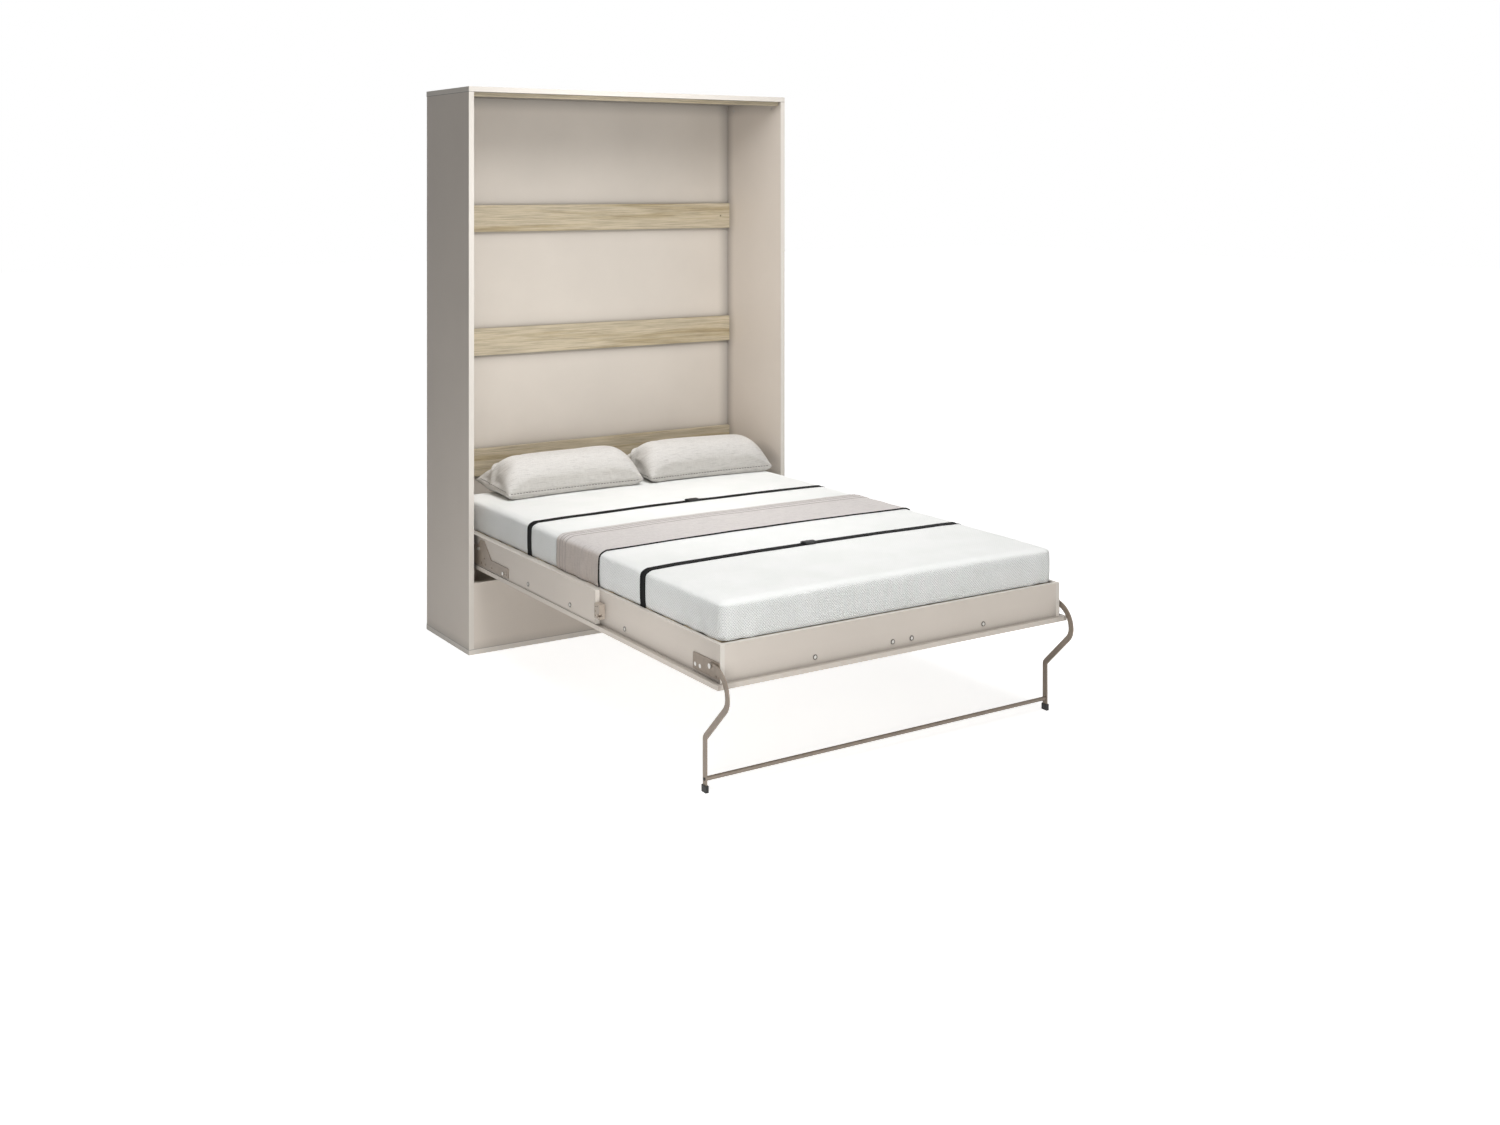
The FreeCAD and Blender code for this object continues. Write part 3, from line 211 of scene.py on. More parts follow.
# %% Material tools
def linear(colour):
    """A colour picked on screen, from 0 to 255, as the shader's own linear values."""
    shares = [value / 255 for value in colour]
    return tuple(s / 12.92 if s <= 0.04045 else ((s + 0.055) / 1.055) ** 2.4 for s in shares) + (1.0,)


def material_of(name, colour, roughness, **sockets):
    """A new material with its main colour and roughness, and any other shader values by name."""
    made = bpy.data.materials.new(name)
    made.use_nodes = True
    shader = made.node_tree.nodes["Principled BSDF"]
    shader.inputs["Base Color"].default_value = linear(colour)
    shader.inputs["Roughness"].default_value = roughness
    for socket, value in sockets.items():
        shader.inputs[socket.replace("_", " ").title().replace("Ior", "IOR")].default_value = value
    return made


def add(material, kind, settings=(), **values):
    """One more node, with its settings and its input values."""
    node = material.node_tree.nodes.new(kind)
    for key, value in dict(settings).items():
        setattr(node, key, value)
    for key, value in values.items():
        node.inputs[key.replace("_", " ")].default_value = value
    return node


def wire(material, source, target):
    """Joins an output to an input, each given as (node, socket)."""
    material.node_tree.links.new(source[0].outputs[source[1]], target[0].inputs[target[1]])


print("mid grey in linear values:", linear((128, 128, 128)))

# %% [markdown]
# ## Patterns
# Grain, weave and tooth are patterns of noise. They could be pictures laid on the surface, but those
# blur in a close view and need to be fitted to each piece. Noise is placed in the part's own metres,
# so it stays sharp and keeps its real size on every piece.

# %% Patterns
def placed(material, scale, use="Object", turn=0.0):
    """Pattern coordinates in metres times a scale along each axis."""
    source = add(material, "ShaderNodeTexCoord")
    mapping = add(material, "ShaderNodeMapping")
    mapping.inputs["Scale"].default_value = scale
    mapping.inputs["Rotation"].default_value = (0, 0, math.radians(turn))
    wire(material, (source, use), (mapping, "Vector"))
    return mapping


def noise(material, scale, size, detail=3.0, roughness=0.5, distortion=0.0, use="Object"):
    """Soft noise, its size in patterns to the metre along each axis."""
    mapping = placed(material, scale, use)
    made = add(material, "ShaderNodeTexNoise", Scale=size, Detail=detail, Roughness=roughness,
               Distortion=distortion)
    wire(material, (mapping, "Vector"), (made, "Vector"))
    return made


def ramp(material, source, stops):
    """Turns a value into colours, with each stop given as (position, colour)."""
    made = add(material, "ShaderNodeValToRGB")
    elements = made.color_ramp.elements
    while len(elements) < len(stops):
        elements.new(0.5)
    for element, (position, colour) in zip(elements, stops):
        element.position = position
        element.color = linear(colour)
    wire(material, source, (made, "Fac"))
    return made


def mixed(material, how, factor, first, second):
    """Two colours joined by a blend mode, with a factor that is a number or an output."""
    made = add(material, "ShaderNodeMix", (("data_type", "RGBA"), ("blend_type", how)))
    for socket, source in ((0, factor), (6, first), (7, second)):
        if isinstance(source, tuple) and isinstance(source[0], bpy.types.Node):
            material.node_tree.links.new(source[0].outputs[source[1]], made.inputs[socket])
        else:
            made.inputs[socket].default_value = source
    return (made, 2)


print("patterns ready")

# %% [markdown]
# ## From pattern to surface
# A pattern can tint a surface, raise it or change its gloss. Real relief could be cut into the mesh,
# but these finishes are a fraction of a millimetre deep, and a bump gives the same light and shade.

# %% Surface tools
def colour_from(material, source):
    """Takes the main colour from an output."""
    wire(material, source, (material.node_tree.nodes["Principled BSDF"], "Base Color"))


def bump_from(material, source, depth, strength=1.0, under=None):
    """Raises the surface by a value times a depth in metres, on top of another bump."""
    made = add(material, "ShaderNodeBump", Strength=strength, Distance=depth)
    wire(material, source, (made, "Height"))
    if under:
        wire(material, (under, "Normal"), (made, "Normal"))
    wire(material, (made, "Normal"), (material.node_tree.nodes["Principled BSDF"], "Normal"))
    return made


def roughness_from(material, source, low, high):
    """Lets a value move the roughness between two levels."""
    made = add(material, "ShaderNodeMapRange")
    made.inputs["To Min"].default_value = low
    made.inputs["To Max"].default_value = high
    wire(material, source, (made, "Value"))
    wire(material, (made, "Result"), (material.node_tree.nodes["Principled BSDF"], "Roughness"))


print("surface tools ready")

# %% [markdown]
# ## Board
# The real boards have a warm beige melamine skin with a fine tooth, and paler bands on their cut
# edges. A scanned decor could be laid on each face, but the finish is so plain that noise is enough,
# and the direction that a face looks in tells a face from an edge. Inner corners get a painted shade
# from ambient occlusion, and a painted shadow line marks where a side board meets the top or the
# bottom board.

# %% Board
# Painted shade in corners, and a painted shadow line where the boards meet
PAINTED_SHADE_REACH, PAINTED_SHADE_SHARE = 0.06, 0.8
JOINT_SHADOW_HALF_WIDTH, JOINT_SHADOW_TONE = 0.0016, 0.62
WHITE, BLACK = (255, 255, 255), (0, 0, 0)


def laminate(name, colour, mottle, thin=None, edge=None, joint_shadow_height=None):
    """Matt melamine with painted shade from ambient occlusion in its corners. Faces that don't look along the
    thin axis are cut edges and take the edge's colour, and the last argument is the height of a painted shadow
    line where boards meet."""
    made = material_of(name, colour, 0.46, specular_ior_level=0.35)
    cloud = noise(made, (1, 1, 1), 3.0, detail=4)
    darker = tuple(value * (1 - mottle) for value in colour)
    tone = ramp(made, (cloud, "Fac"), [(0.3, darker), (0.7, colour)])
    # Painted shade: ambient occlusion darkens the colour in corners and recesses
    corner_painted_shade = add(made, "ShaderNodeAmbientOcclusion", (("samples", 8),))
    corner_painted_shade.inputs["Distance"].default_value = PAINTED_SHADE_REACH
    source = mixed(made, "MULTIPLY", PAINTED_SHADE_SHARE, (tone, "Color"), (corner_painted_shade, "Color"))
    if edge:
        facing = add(made, "ShaderNodeTexCoord")
        axes = add(made, "ShaderNodeSeparateXYZ")
        wire(made, (facing, "Normal"), (axes, "Vector"))
        flat = add(made, "ShaderNodeMath", (("operation", "ABSOLUTE"),))
        wire(made, (axes, thin), (flat, 0))
        wide = ramp(made, (flat, 0), [(0.4, WHITE), (0.6, BLACK)])
        source = mixed(made, "MIX", (wide, "Color"), source, linear(edge))
    if joint_shadow_height:
        # Painted shadow: a darker line at the height where a side board meets this board
        spot = add(made, "ShaderNodeTexCoord")
        height = add(made, "ShaderNodeSeparateXYZ")
        wire(made, (spot, "Object"), (height, "Vector"))
        in_joint_shadow = add(made, "ShaderNodeMath", (("operation", "COMPARE"),))
        in_joint_shadow.inputs[1].default_value, in_joint_shadow.inputs[2].default_value = joint_shadow_height, JOINT_SHADOW_HALF_WIDTH
        wire(made, (height, "Z"), (in_joint_shadow, 0))
        source = mixed(made, "MIX", (in_joint_shadow, 0), source, linear(tuple(JOINT_SHADOW_TONE * value for value in colour)))
    colour_from(made, source)
    tooth = noise(made, (1, 1, 1), 1400, detail=2)
    bump_from(made, (tooth, "Fac"), 0.00006, 0.5)
    roughness_from(made, (tooth, "Fac"), 0.40, 0.52)
    return made


BOARD = (218, 209, 199)
BOARD_EDGE = (221, 215, 207)
BOARD_MOTTLE = 0.02
THIN_AXES = {
    "X": ["side_board_left", "side_board_right", "side_lining_left", "side_lining_right", "side_rail_head_left",
          "side_rail_head_right", "side_rail_foot_left", "side_rail_foot_right"],
    "Y": ["front_fascia", "head_rail", "foot_rail", "cross_rails"],
}
BY_NODE = {}
for thin_axis, names in THIN_AXES.items():
    banded = laminate("cashmere_laminate_" + thin_axis.lower(), BOARD, BOARD_MOTTLE, thin_axis, BOARD_EDGE)
    BY_NODE.update({name: banded for name in names})
panel = laminate("cashmere_laminate_panels", BOARD, BOARD_MOTTLE)
BY_NODE.update({name: panel for name in ("facade_panel_head", "facade_panel_foot")})
# The top and bottom boards carry the painted shadow line where the side boards meet them
for name, joint_shadow_height in (("top_board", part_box("top_board")[0].z), ("bottom_board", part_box("bottom_board")[1].z)):
    BY_NODE[name] = laminate("cashmere_laminate_" + name, BOARD, BOARD_MOTTLE, "Z", BOARD_EDGE, joint_shadow_height)
MATERIALS = {"back_sheet_laminate": laminate("back_sheet_laminate", (210, 202, 192), 0.03)}
print("laminate for", len(BY_NODE), "boards")

# %% [markdown]
# ## Oak and slat wood
# The rails across the back and the stop under the top board are pale oak, and the slats are plain
# birch. Growth rings could be modelled as a solid block of rings that each piece is cut from. But nearly
# all these pieces run across the bed, so noise that is stretched along X gives the same straight
# grain, and a second, finer one its pores.

# %% Wood
GRAIN_STRETCH, PORE_STRETCH = 0.05, 0.02


def wood(name, light, dark, grain=22.0):
    """Timber with its grain along X: long dark streaks, with finer pores between them."""
    made = material_of(name, light, 0.55, specular_ior_level=0.3)
    broad = noise(made, (GRAIN_STRETCH, 1, 1), grain, detail=6, roughness=0.62, distortion=0.5)
    tone = ramp(made, (broad, "Fac"), [(0.32, dark), (0.5, light), (0.68, tuple(0.93 * c for c in light))])
    fine = noise(made, (PORE_STRETCH, 1, 1), grain * 14, detail=3, roughness=0.7)
    pores = ramp(made, (fine, "Fac"), [(0.36, (170, 170, 170)), (0.56, WHITE)])
    colour_from(made, mixed(made, "MULTIPLY", 0.55, (tone, "Color"), (pores, "Color")))
    bump_from(made, (fine, "Fac"), 0.0002, 0.4)
    return made


MATERIALS["pale_oak"] = wood("pale_oak", (200, 187, 162), (170, 154, 122))
MATERIALS["slat_wood"] = wood("slat_wood", (224, 203, 168), (200, 174, 136), 16)
print("two woods")

# %% [markdown]
# ## Metal and plastic
# The legs and plates have a grey-brown powder coat, the pins, bolts and cam fittings are plated, and
# the gas struts' cylinders are black. Shoes, covers and connectors are moulded plastic. One plain
# shader for each would look too clean, so the coat gets a faint orange-peel skin and the plastic a
# spark-eroded grain.

# %% Metal and plastic
def coated_steel(name, colour, roughness, metallic):
    """Powder-coated or plated steel with a faint orange-peel skin."""
    made = material_of(name, colour, roughness, metallic=metallic)
    skin = noise(made, (1, 1, 1), 900, detail=2)
    bump_from(made, (skin, "Fac"), 0.00008, 0.4)
    wear = noise(made, (1, 1, 1), 40, detail=5, roughness=0.7)
    roughness_from(made, (wear, "Fac"), roughness - 0.08, roughness + 0.1)
    rubbed = ramp(made, (wear, "Fac"), [(0.4, tuple(0.93 * c for c in colour)), (0.62, colour)])
    colour_from(made, (rubbed, "Color"))
    return made


def moulded(name, colour):
    """Moulded plastic with a fine spark-eroded grain."""
    made = material_of(name, colour, 0.5)
    grain = noise(made, (1, 1, 1), 1600, detail=2)
    bump_from(made, (grain, "Fac"), 0.0001, 0.5)
    tone = ramp(made, (grain, "Fac"), [(0.3, tuple(0.9 * c for c in colour)), (0.7, colour)])
    colour_from(made, (tone, "Color"))
    return made


MATERIALS["champagne_steel"] = coated_steel("champagne_steel", (148, 135, 122), 0.42, 0.25)
MATERIALS["bright_steel"] = coated_steel("bright_steel", (198, 196, 192), 0.28, 1.0)
MATERIALS["black_steel"] = coated_steel("black_steel", (34, 33, 33), 0.36, 0.2)
MATERIALS["beige_plastic"] = moulded("beige_plastic", (188, 176, 163))
MATERIALS["black_plastic"] = moulded("black_plastic", (11, 11, 12))
# The rail caps are pale plastic; their near-white colour is partly a painted highlight
BY_NODE["rail_caps"] = moulded("cap_plastic_and_highlight", (240, 236, 230))
print("three metals and three plastics")

# %% [markdown]
# ## Dressing the hard pieces
# Each hard piece is one of the CAD nodes, and the record says which finish its slot has. The finishes
# could be given out by hand, node by node. Going through the record keeps the two in step, and only
# the boards and the rail caps, which differ within their slot, have a finish by name.

# %% Hard pieces
for part in frame["record"]["subparts"]:
    chosen = BY_NODE.get(part["node"], MATERIALS.get(part["material_slot"]))
    if chosen:
        nodes[part["node"]].data.materials.clear()
        nodes[part["node"]].data.materials.append(chosen)
print("hard materials:", len(MATERIALS), "by slot and", len(BY_NODE), "by name")

# %% [markdown]
# ## Knit
# The mattress cover is a white knit with small round dimples set in slanting rows. The dimples could
# be pressed into the mesh, but there are tens of thousands of them. A turned grid of cells places
# them in the cover's flat metres instead. Each dimple gets a painted shade in its hollow, and where the
# cloth stands upright both that painted shade and the relief are deeper, as the light rakes across them there.

# %% Knit
def upright_share(material, low, high):
    """A value that runs from low where the cloth lies flat to high where it stands upright."""
    facing = add(material, "ShaderNodeTexCoord")
    axes = add(material, "ShaderNodeSeparateXYZ")
    wire(material, (facing, "Normal"), (axes, "Vector"))
    share = add(material, "ShaderNodeMapRange")
    share.inputs["From Min"].default_value = 0.9
    share.inputs["From Max"].default_value = 0.35
    share.inputs["To Min"].default_value = low
    share.inputs["To Max"].default_value = high
    wire(material, (axes, "Z"), (share, "Value"))
    return share


DIMPLES_PER_METRE = 150


def knit(name):
    """White knit with dimples in slanting rows, each with a painted shade in its hollow, deepest on the sides.
    """
    made = material_of(name, (248, 249, 247), 0.85, sheen_weight=0.1, specular_ior_level=0.2)
    spots = placed(made, (DIMPLES_PER_METRE,) * 3, "UV", 45)
    cells = add(made, "ShaderNodeTexVoronoi", (("voronoi_dimensions", "2D"),), Scale=1.0, Randomness=0.16)
    wire(made, (spots, "Vector"), (cells, "Vector"))
    # Painted shade: each dimple is darker towards its middle, as shade falling in its hollow
    shades = [(0.05, (126, 132, 130)), (0.22, (214, 217, 215)), (0.34, WHITE)]
    dimple_painted_shade = ramp(made, (cells, "Distance"), shades)
    height = ramp(made, (cells, "Distance"), [(0.05, BLACK), (0.5, WHITE)])
    cloud = noise(made, (1, 1, 1), 7, detail=3, use="UV")
    tone = ramp(made, (cloud, "Fac"), [(0.35, (248, 250, 248)), (0.65, (253, 254, 253))])
    # The painted shade in the dimples, and their relief below, are deeper where the cloth stands upright
    depth = upright_share(made, 0.08, 0.55)
    colour_from(made, mixed(made, "MULTIPLY", (depth, "Result"), (tone, "Color"), (dimple_painted_shade, "Color")))
    thread = noise(made, (1, 1, 1), 1100, detail=2, use="UV")
    under = bump_from(made, (thread, "Fac"), 0.0004, 0.35)
    raised = bump_from(made, (height, "Color"), 0.0022, 0.75, under)
    wire(made, (upright_share(made, 0.25, 1.0), "Result"), (raised, "Strength"))
    return made


knit_cloth = knit("white_knit")
print("knit with dimples", round(1000 / DIMPLES_PER_METRE, 1), "mm apart")

# %% [markdown]
# ## Woven cloth
# The pillows are washed linen with thicker threads here and there, the runner is a soft grey weave
# with raised lines, and the straps are black webbing. Where the linen and the runner stand upright a
# painted shade darkens them, and the runner's dark piping and darker cords are painted shade too.
# Single threads could be drawn as waves, but they would flicker at this distance. All five are plain
# weaves, so one recipe serves them: two noises, stretched along the two directions of thread, and a
# third for the thicker threads.

# %% Woven cloth
def woven(name, light, dark, slub, pitch, sheen=0.2, hanging=WHITE):
    """A plain weave of crossing threads with thicker ones at random; hanging is a painted shade that darkens it
    where it is upright.
    """
    made = material_of(name, light, 0.88, sheen_weight=sheen, specular_ior_level=0.2)
    across = noise(made, (0.12, 1, 1), pitch, detail=4, roughness=0.7, use="UV")
    along = noise(made, (1, 0.12, 1), pitch, detail=4, roughness=0.7, use="UV")
    first = ramp(made, (across, "Fac"), [(0.36, dark), (0.55, light)])
    second = ramp(made, (along, "Fac"), [(0.36, dark), (0.55, light)])
    threads = mixed(made, "MIX", 0.5, (first, "Color"), (second, "Color"))
    long_threads = noise(made, (0.07, 1, 1), pitch * 0.7, detail=2, roughness=0.6, use="UV")
    streaks = ramp(made, (long_threads, "Fac"), [(0.34, (slub,) * 3), (0.46, WHITE)])
    flecked = mixed(made, "MULTIPLY", 0.8, threads, (streaks, "Color"))
    # Painted shade: where the cloth stands upright, its colour is multiplied by the hanging colour
    upright_painted_shade = upright_share(made, 0.0, 1.0)
    colour_from(made, mixed(made, "MULTIPLY", (upright_painted_shade, "Result"), flecked, linear(hanging)))
    under = bump_from(made, (across, "Fac"), 0.0008, 0.5)
    bump_from(made, (along, "Fac"), 0.0008, 0.5, under)
    return made


# The last colour given to the linen and to the runner is a painted shade where they stand upright
linen_cloth = woven("grey_linen", (227, 225, 222), (210, 206, 202), 228, 340, 0.2, (222, 221, 218))
runner_cloth = woven("grey_weave", (222, 217, 215), (204, 198, 195), 232, 300, 0.3, (222, 215, 208))
webbing = woven("black_webbing", (15, 15, 16), (6, 6, 7), 200, 500, 0.0)
# Painted shade: the piping's dark weave stands for the shade at the runner's folded foot edge
piping_shade_cloth = woven("painted_shade_piping", (40, 38, 38), (24, 23, 23), 220, 500, 0.0)
# Painted shade: the cords' darker weave stands for the shade along the runner's raised lines
cord_shade_cloth = woven("runner_shade_cord", (160, 150, 146), (140, 131, 127), 220, 400)
thread_material = moulded("sewing_thread", (102, 99, 95))
print("five weaves and a sewing thread")

# %% [markdown]
# ## Tools for new pieces
# The pieces made below are grids of points worked out with NumPy and joined by quads. Modelling tools
# could build them too, but a grid keeps each point's place along the cloth, which the weave needs.

# %% Tools for new pieces
def mesh_object(name, points, faces, material, flat_map=None):
    """A smooth mesh object from points and faces, with its cloth coordinates in metres."""
    mesh = bpy.data.meshes.new(name)
    mesh.from_pydata([tuple(map(float, p)) for p in points], [], [tuple(map(int, f)) for f in faces])
    mesh.materials.append(material)
    if flat_map is not None:
        layer = mesh.uv_layers.new(name="cloth")
        corners = np.zeros(len(mesh.loops), int)
        mesh.loops.foreach_get("vertex_index", corners)
        layer.data.foreach_set("uv", np.asarray(flat_map, np.float32)[corners].ravel())
    mesh.polygons.foreach_set("use_smooth", np.ones(len(mesh.polygons), bool))
    mesh.update()
    made = bpy.data.objects.new(name, mesh)
    bpy.context.scene.collection.objects.link(made)
    return made


def grid_faces(rows, columns, wrap=False):
    """Quads over a grid of points, closed round its columns if it wraps."""
    index = np.arange(rows * columns).reshape(rows, columns)
    right = np.roll(index, -1, axis=1) if wrap else index[:, 1:]
    left = index if wrap else index[:, :-1]
    quads = np.stack([left[:-1], right[:-1], right[1:], left[1:]], axis=-1)
    return quads.reshape(-1, 4)


print("a grid of 3 by 4 points has", len(grid_faces(3, 4)), "quads")

# %% [markdown]
# ## Painted shade round the rail caps
# The dark rim round each round cover on the real bed is shade at its edge, so a thin dark ring is
# painted there. It could be a separate CAD part, but it is too thin to matter there. The covers are
# one CAD node, so each is found as an island of its mesh, and a flat washer is laid on its face.

# %% Cap rims
RIM_INNER_SHARE, RIM_OUTER_SHARE = 0.78, 1.04
RIM_SUNK, RIM_THICK = 0.0002, 0.0006


def islands(mesh):
    """The points of each separate piece of a mesh."""
    build = bmesh.new()
    build.from_mesh(mesh)
    build.verts.ensure_lookup_table()
    seen, found = set(), []
    for first in build.verts:
        if first.index in seen:
            continue
        group, waiting = [], [first]
        seen.add(first.index)
        while waiting:
            point = waiting.pop()
            group.append(tuple(point.co))
            for edge in point.link_edges:
                other = edge.other_vert(point)
                if other.index not in seen:
                    seen.add(other.index)
                    waiting.append(other)
        found.append(np.array(group))
    build.free()
    return found


def washer(centre, axis, inner, outer, thick, sides=28):
    """Points and faces of a flat ring round an axis, standing on its centre."""
    first = np.roll(axis, 1)
    second = np.cross(axis, first)
    turns = np.linspace(0, 2 * math.pi, sides, endpoint=False)
    spokes = np.cos(turns)[:, None] * first + np.sin(turns)[:, None] * second
    rings = [centre + spokes * inner, centre + spokes * inner + axis * thick,
             centre + spokes * outer + axis * thick, centre + spokes * outer]
    return np.concatenate(rings), grid_faces(len(rings), sides, wrap=True)


rim_points, rim_faces = [], []
for cap in islands(nodes["rail_caps"].data):
    low, high = cap.min(axis=0), cap.max(axis=0)
    centre, size = (low + high) / 2, high - low
    thin = int(np.argmin(size))
    axis = np.zeros(3)
    axis[thin] = -1 if thin == 1 else math.copysign(1, centre[0])
    seat = centre + axis * (size[thin] / 2 - RIM_SUNK)
    radius = size.max() / 2
    ring_points, ring_faces = washer(seat, axis, radius * RIM_INNER_SHARE, radius * RIM_OUTER_SHARE, RIM_THICK)
    rim_faces.append(ring_faces + sum(len(p) for p in rim_points))
    rim_points.append(ring_points)
# Painted shade: a thin dark ring round each cap
cap_shade_rings = mesh_object("rail_cap_shade_rings", np.concatenate(rim_points), np.concatenate(rim_faces),
                   coated_steel("painted_cap_shade", (84, 75, 66), 0.35, 0.6))
cap_shade_rings.data.polygons.foreach_set("use_smooth", np.zeros(len(cap_shade_rings.data.polygons), bool))
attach(cap_shade_rings, "bed")
print(len(rim_points), "cap rims")

# %% [markdown]
# ## Tools for folds
# Cloth over foam has ridges, valleys and grooves. They could be pushed in with a sculpting brush, but
# here each is a smooth bump with a place, a width, a lean and a depth, so it can be read and changed.

# %% Fold tools
def swell(distance, width):
    """A smooth bump, 1 at its middle and 0 beyond about twice its width."""
    return np.exp(-(distance / width) ** 2)


def smooth_step(value, low, high):
    """0 below low, 1 above high and a soft slope between."""
    share = np.clip((value - low) / (high - low), 0, 1)
    return share * share * (3 - 2 * share)


def coordinates(obj):
    """The points of an object's mesh as an array."""
    flat = np.zeros(len(obj.data.vertices) * 3)
    obj.data.vertices.foreach_get("co", flat)
    return flat.reshape(-1, 3)


def normals(obj):
    """The outward direction at each point of an object's mesh."""
    flat = np.zeros(len(obj.data.vertices) * 3)
    obj.data.vertices.foreach_get("normal", flat)
    return flat.reshape(-1, 3)


def set_coordinates(obj, points):
    """Moves an object's points to new places."""
    obj.data.vertices.foreach_set("co", np.asarray(points, np.float32).ravel())
    obj.data.update()


def stands_for(obj, node, body):
    """The piece replaces a CAD node and rides on its body."""
    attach(obj, body)
    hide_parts(node)


print("a bump of width 1 at distances 0, 1 and 2:", [round(float(swell(d, 1)), 2) for d in (0, 1, 2)])

# %% [markdown]
# ## The mattress's form
# A foam mattress in a fitted knit cover. Its upper edges are round, and the lower ones, where it lies on
# the bed, are squarer. A bevelled cube could give that box, but a box of even cells, pulled in at its
# edges, has points enough for the folds that come next.

# %% Mattress form
ROUNDING, CELL = 0.030, 0.0125
ROUND_POWER, SQUARE_POWER = 2.0, 10.0


def rounded_box_mesh(low, high, radius, cell):
    """Points and faces of a box with round upper and squarer lower edges, and a flat map for its cloth."""
    low, high = np.array(low), np.array(high)
    centre, half = (low + high) / 2, (high - low) / 2
    steps = [max(2, int(round(2 * h / cell))) for h in half]
    lines = [np.linspace(-h, h, n + 1) for h, n in zip(half, steps)]
    points, faces, flat = [], [], []
    for axis in range(3):
        first, second = [a for a in range(3) if a != axis]
        a, b = np.meshgrid(lines[first], lines[second], indexing="ij")
        for side in (-1, 1):
            face = np.zeros(a.shape + (3,))
            face[..., first], face[..., second], face[..., axis] = a, b, side * half[axis]
            quads = grid_faces(a.shape[0], a.shape[1]) + sum(len(p) for p in points)
            flip = (side > 0) == (axis == 1)
            faces.append(quads[:, ::-1] if flip else quads)
            flat.append(np.stack([a.ravel(), b.ravel() + (1.5 + axis) * side], axis=1))
            points.append(face.reshape(-1, 3))
    points, faces, flat = np.concatenate(points), np.concatenate(faces), np.concatenate(flat)
    inner = np.clip(points, -(half - radius), half - radius)
    out = points - inner
    power = np.where(out[:, 2] < 0, SQUARE_POWER, ROUND_POWER)
    sideways = np.linalg.norm(out[:, :2], axis=1)
    size = (sideways ** power + np.abs(out[:, 2]) ** power) ** (1 / power)
    points = inner + out / size[:, None] * radius
    return points + centre, faces, flat


mattress_low, mattress_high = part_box("mattress")
points, faces, flat = rounded_box_mesh(mattress_low, mattress_high, ROUNDING, CELL)
mattress = mesh_object("mattress_cover", points, faces, knit_cloth, flat)
build = bmesh.new()
build.from_mesh(mattress.data)
bmesh.ops.remove_doubles(build, verts=build.verts, dist=0.0002)
bmesh.ops.recalc_face_normals(build, faces=build.faces)
build.to_mesh(mattress.data)
build.free()
print("mattress from", round(mattress_low.z, 4), "to", round(mattress_high.z, 4))

# %% [markdown]
# ## The mattress's cover
# The real cover swells a little at mid-height, dips under each strap and has pull folds that run up
# from its tucked hem near the corners. A cloth simulation could find such folds, but not at the
# places where the photograph has them. So each fold is a row of a table, and all are added as a lift
# along the cover's own outward direction.

# %% Mattress cover
STRAP_MIDDLES = {end: (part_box("strap_" + end)[0].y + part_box("strap_" + end)[1].y) / 2
                 for end in ("head", "foot")}
BELLY, SIDE_EASE, TOP_WAVE = 0.0018, 0.0010, 0.0009
HEM_HEIGHT, HEM_HALF_WIDTH, HEM_TUCK = 0.012, 0.005, 0.0008
STRAP_GROOVE, STRAP_DIP = 0.0026, 0.0008
FOLD_FOOT, FOLD_TOP = 0.02, 0.13
CROWN_ACROSS, CROWN_ALONG = 0.0055, 0.0035
PULL_FOLDS = [
    # side of the bed it is on, place along that side as a share of its half, lean, width, depth, and how
    # high it reaches as a share of the folds' top
    ("x", -0.93, 0.35, 0.014, 0.0040, 0.9), ("x", -0.885, 0.55, 0.011, -0.0040, 0.8),
    ("x", -0.84, 0.7, 0.013, 0.0034, 0.7), ("x", -0.79, 0.9, 0.012, -0.0030, 0.55),
    ("x", -0.30, 0.4, 0.016, -0.0022, 0.5), ("x", -0.255, 0.35, 0.012, 0.0024, 0.5),
    ("x", 0.10, -0.3, 0.014, 0.0024, 0.5), ("x", 0.14, -0.3, 0.012, -0.0026, 0.6),
    ("x", 0.62, -0.5, 0.014, -0.0030, 0.6), ("x", 0.90, -0.6, 0.014, 0.0036, 0.8),
    ("y", -0.90, 0.4, 0.014, -0.0036, 0.8), ("y", -0.84, 0.6, 0.014, 0.0034, 0.7),
    ("y", 0.84, -0.6, 0.014, 0.0034, 0.7), ("y", 0.91, -0.4, 0.014, -0.0036, 0.9),
    ("y", 0.2, 0.3, 0.018, -0.0016, 0.4),
]

place, facing = coordinates(mattress), normals(mattress)
middle = (np.array(mattress_low) + np.array(mattress_high)) / 2
half = (np.array(mattress_high) - np.array(mattress_low)) / 2
across, along, up = (place - middle).T / half[:, None]
sideways = np.linalg.norm(facing[:, :2], axis=1)
height = place[:, 2] - mattress_low[2]
lift = np.zeros(len(place))
for side, spot, lean, width, depth, reach in PULL_FOLDS:
    on_side = smooth_step(np.abs(facing[:, 0 if side == "x" else 1]), 0.5, 0.9)
    run = (along if side == "x" else across) * half[1 if side == "x" else 0]
    start = spot * half[1 if side == "x" else 0]
    away = run - start - lean * height * np.sign(-start if start else 1) * 0.5
    fade = 1 - smooth_step(height, FOLD_FOOT, FOLD_TOP * reach)
    lift += depth * swell(away, width) * fade * on_side
belly = BELLY * (1 - np.clip(np.abs(up), 0, 1) ** 2) * sideways
hem = -HEM_TUCK * swell(height - HEM_HEIGHT, HEM_HALF_WIDTH) * sideways
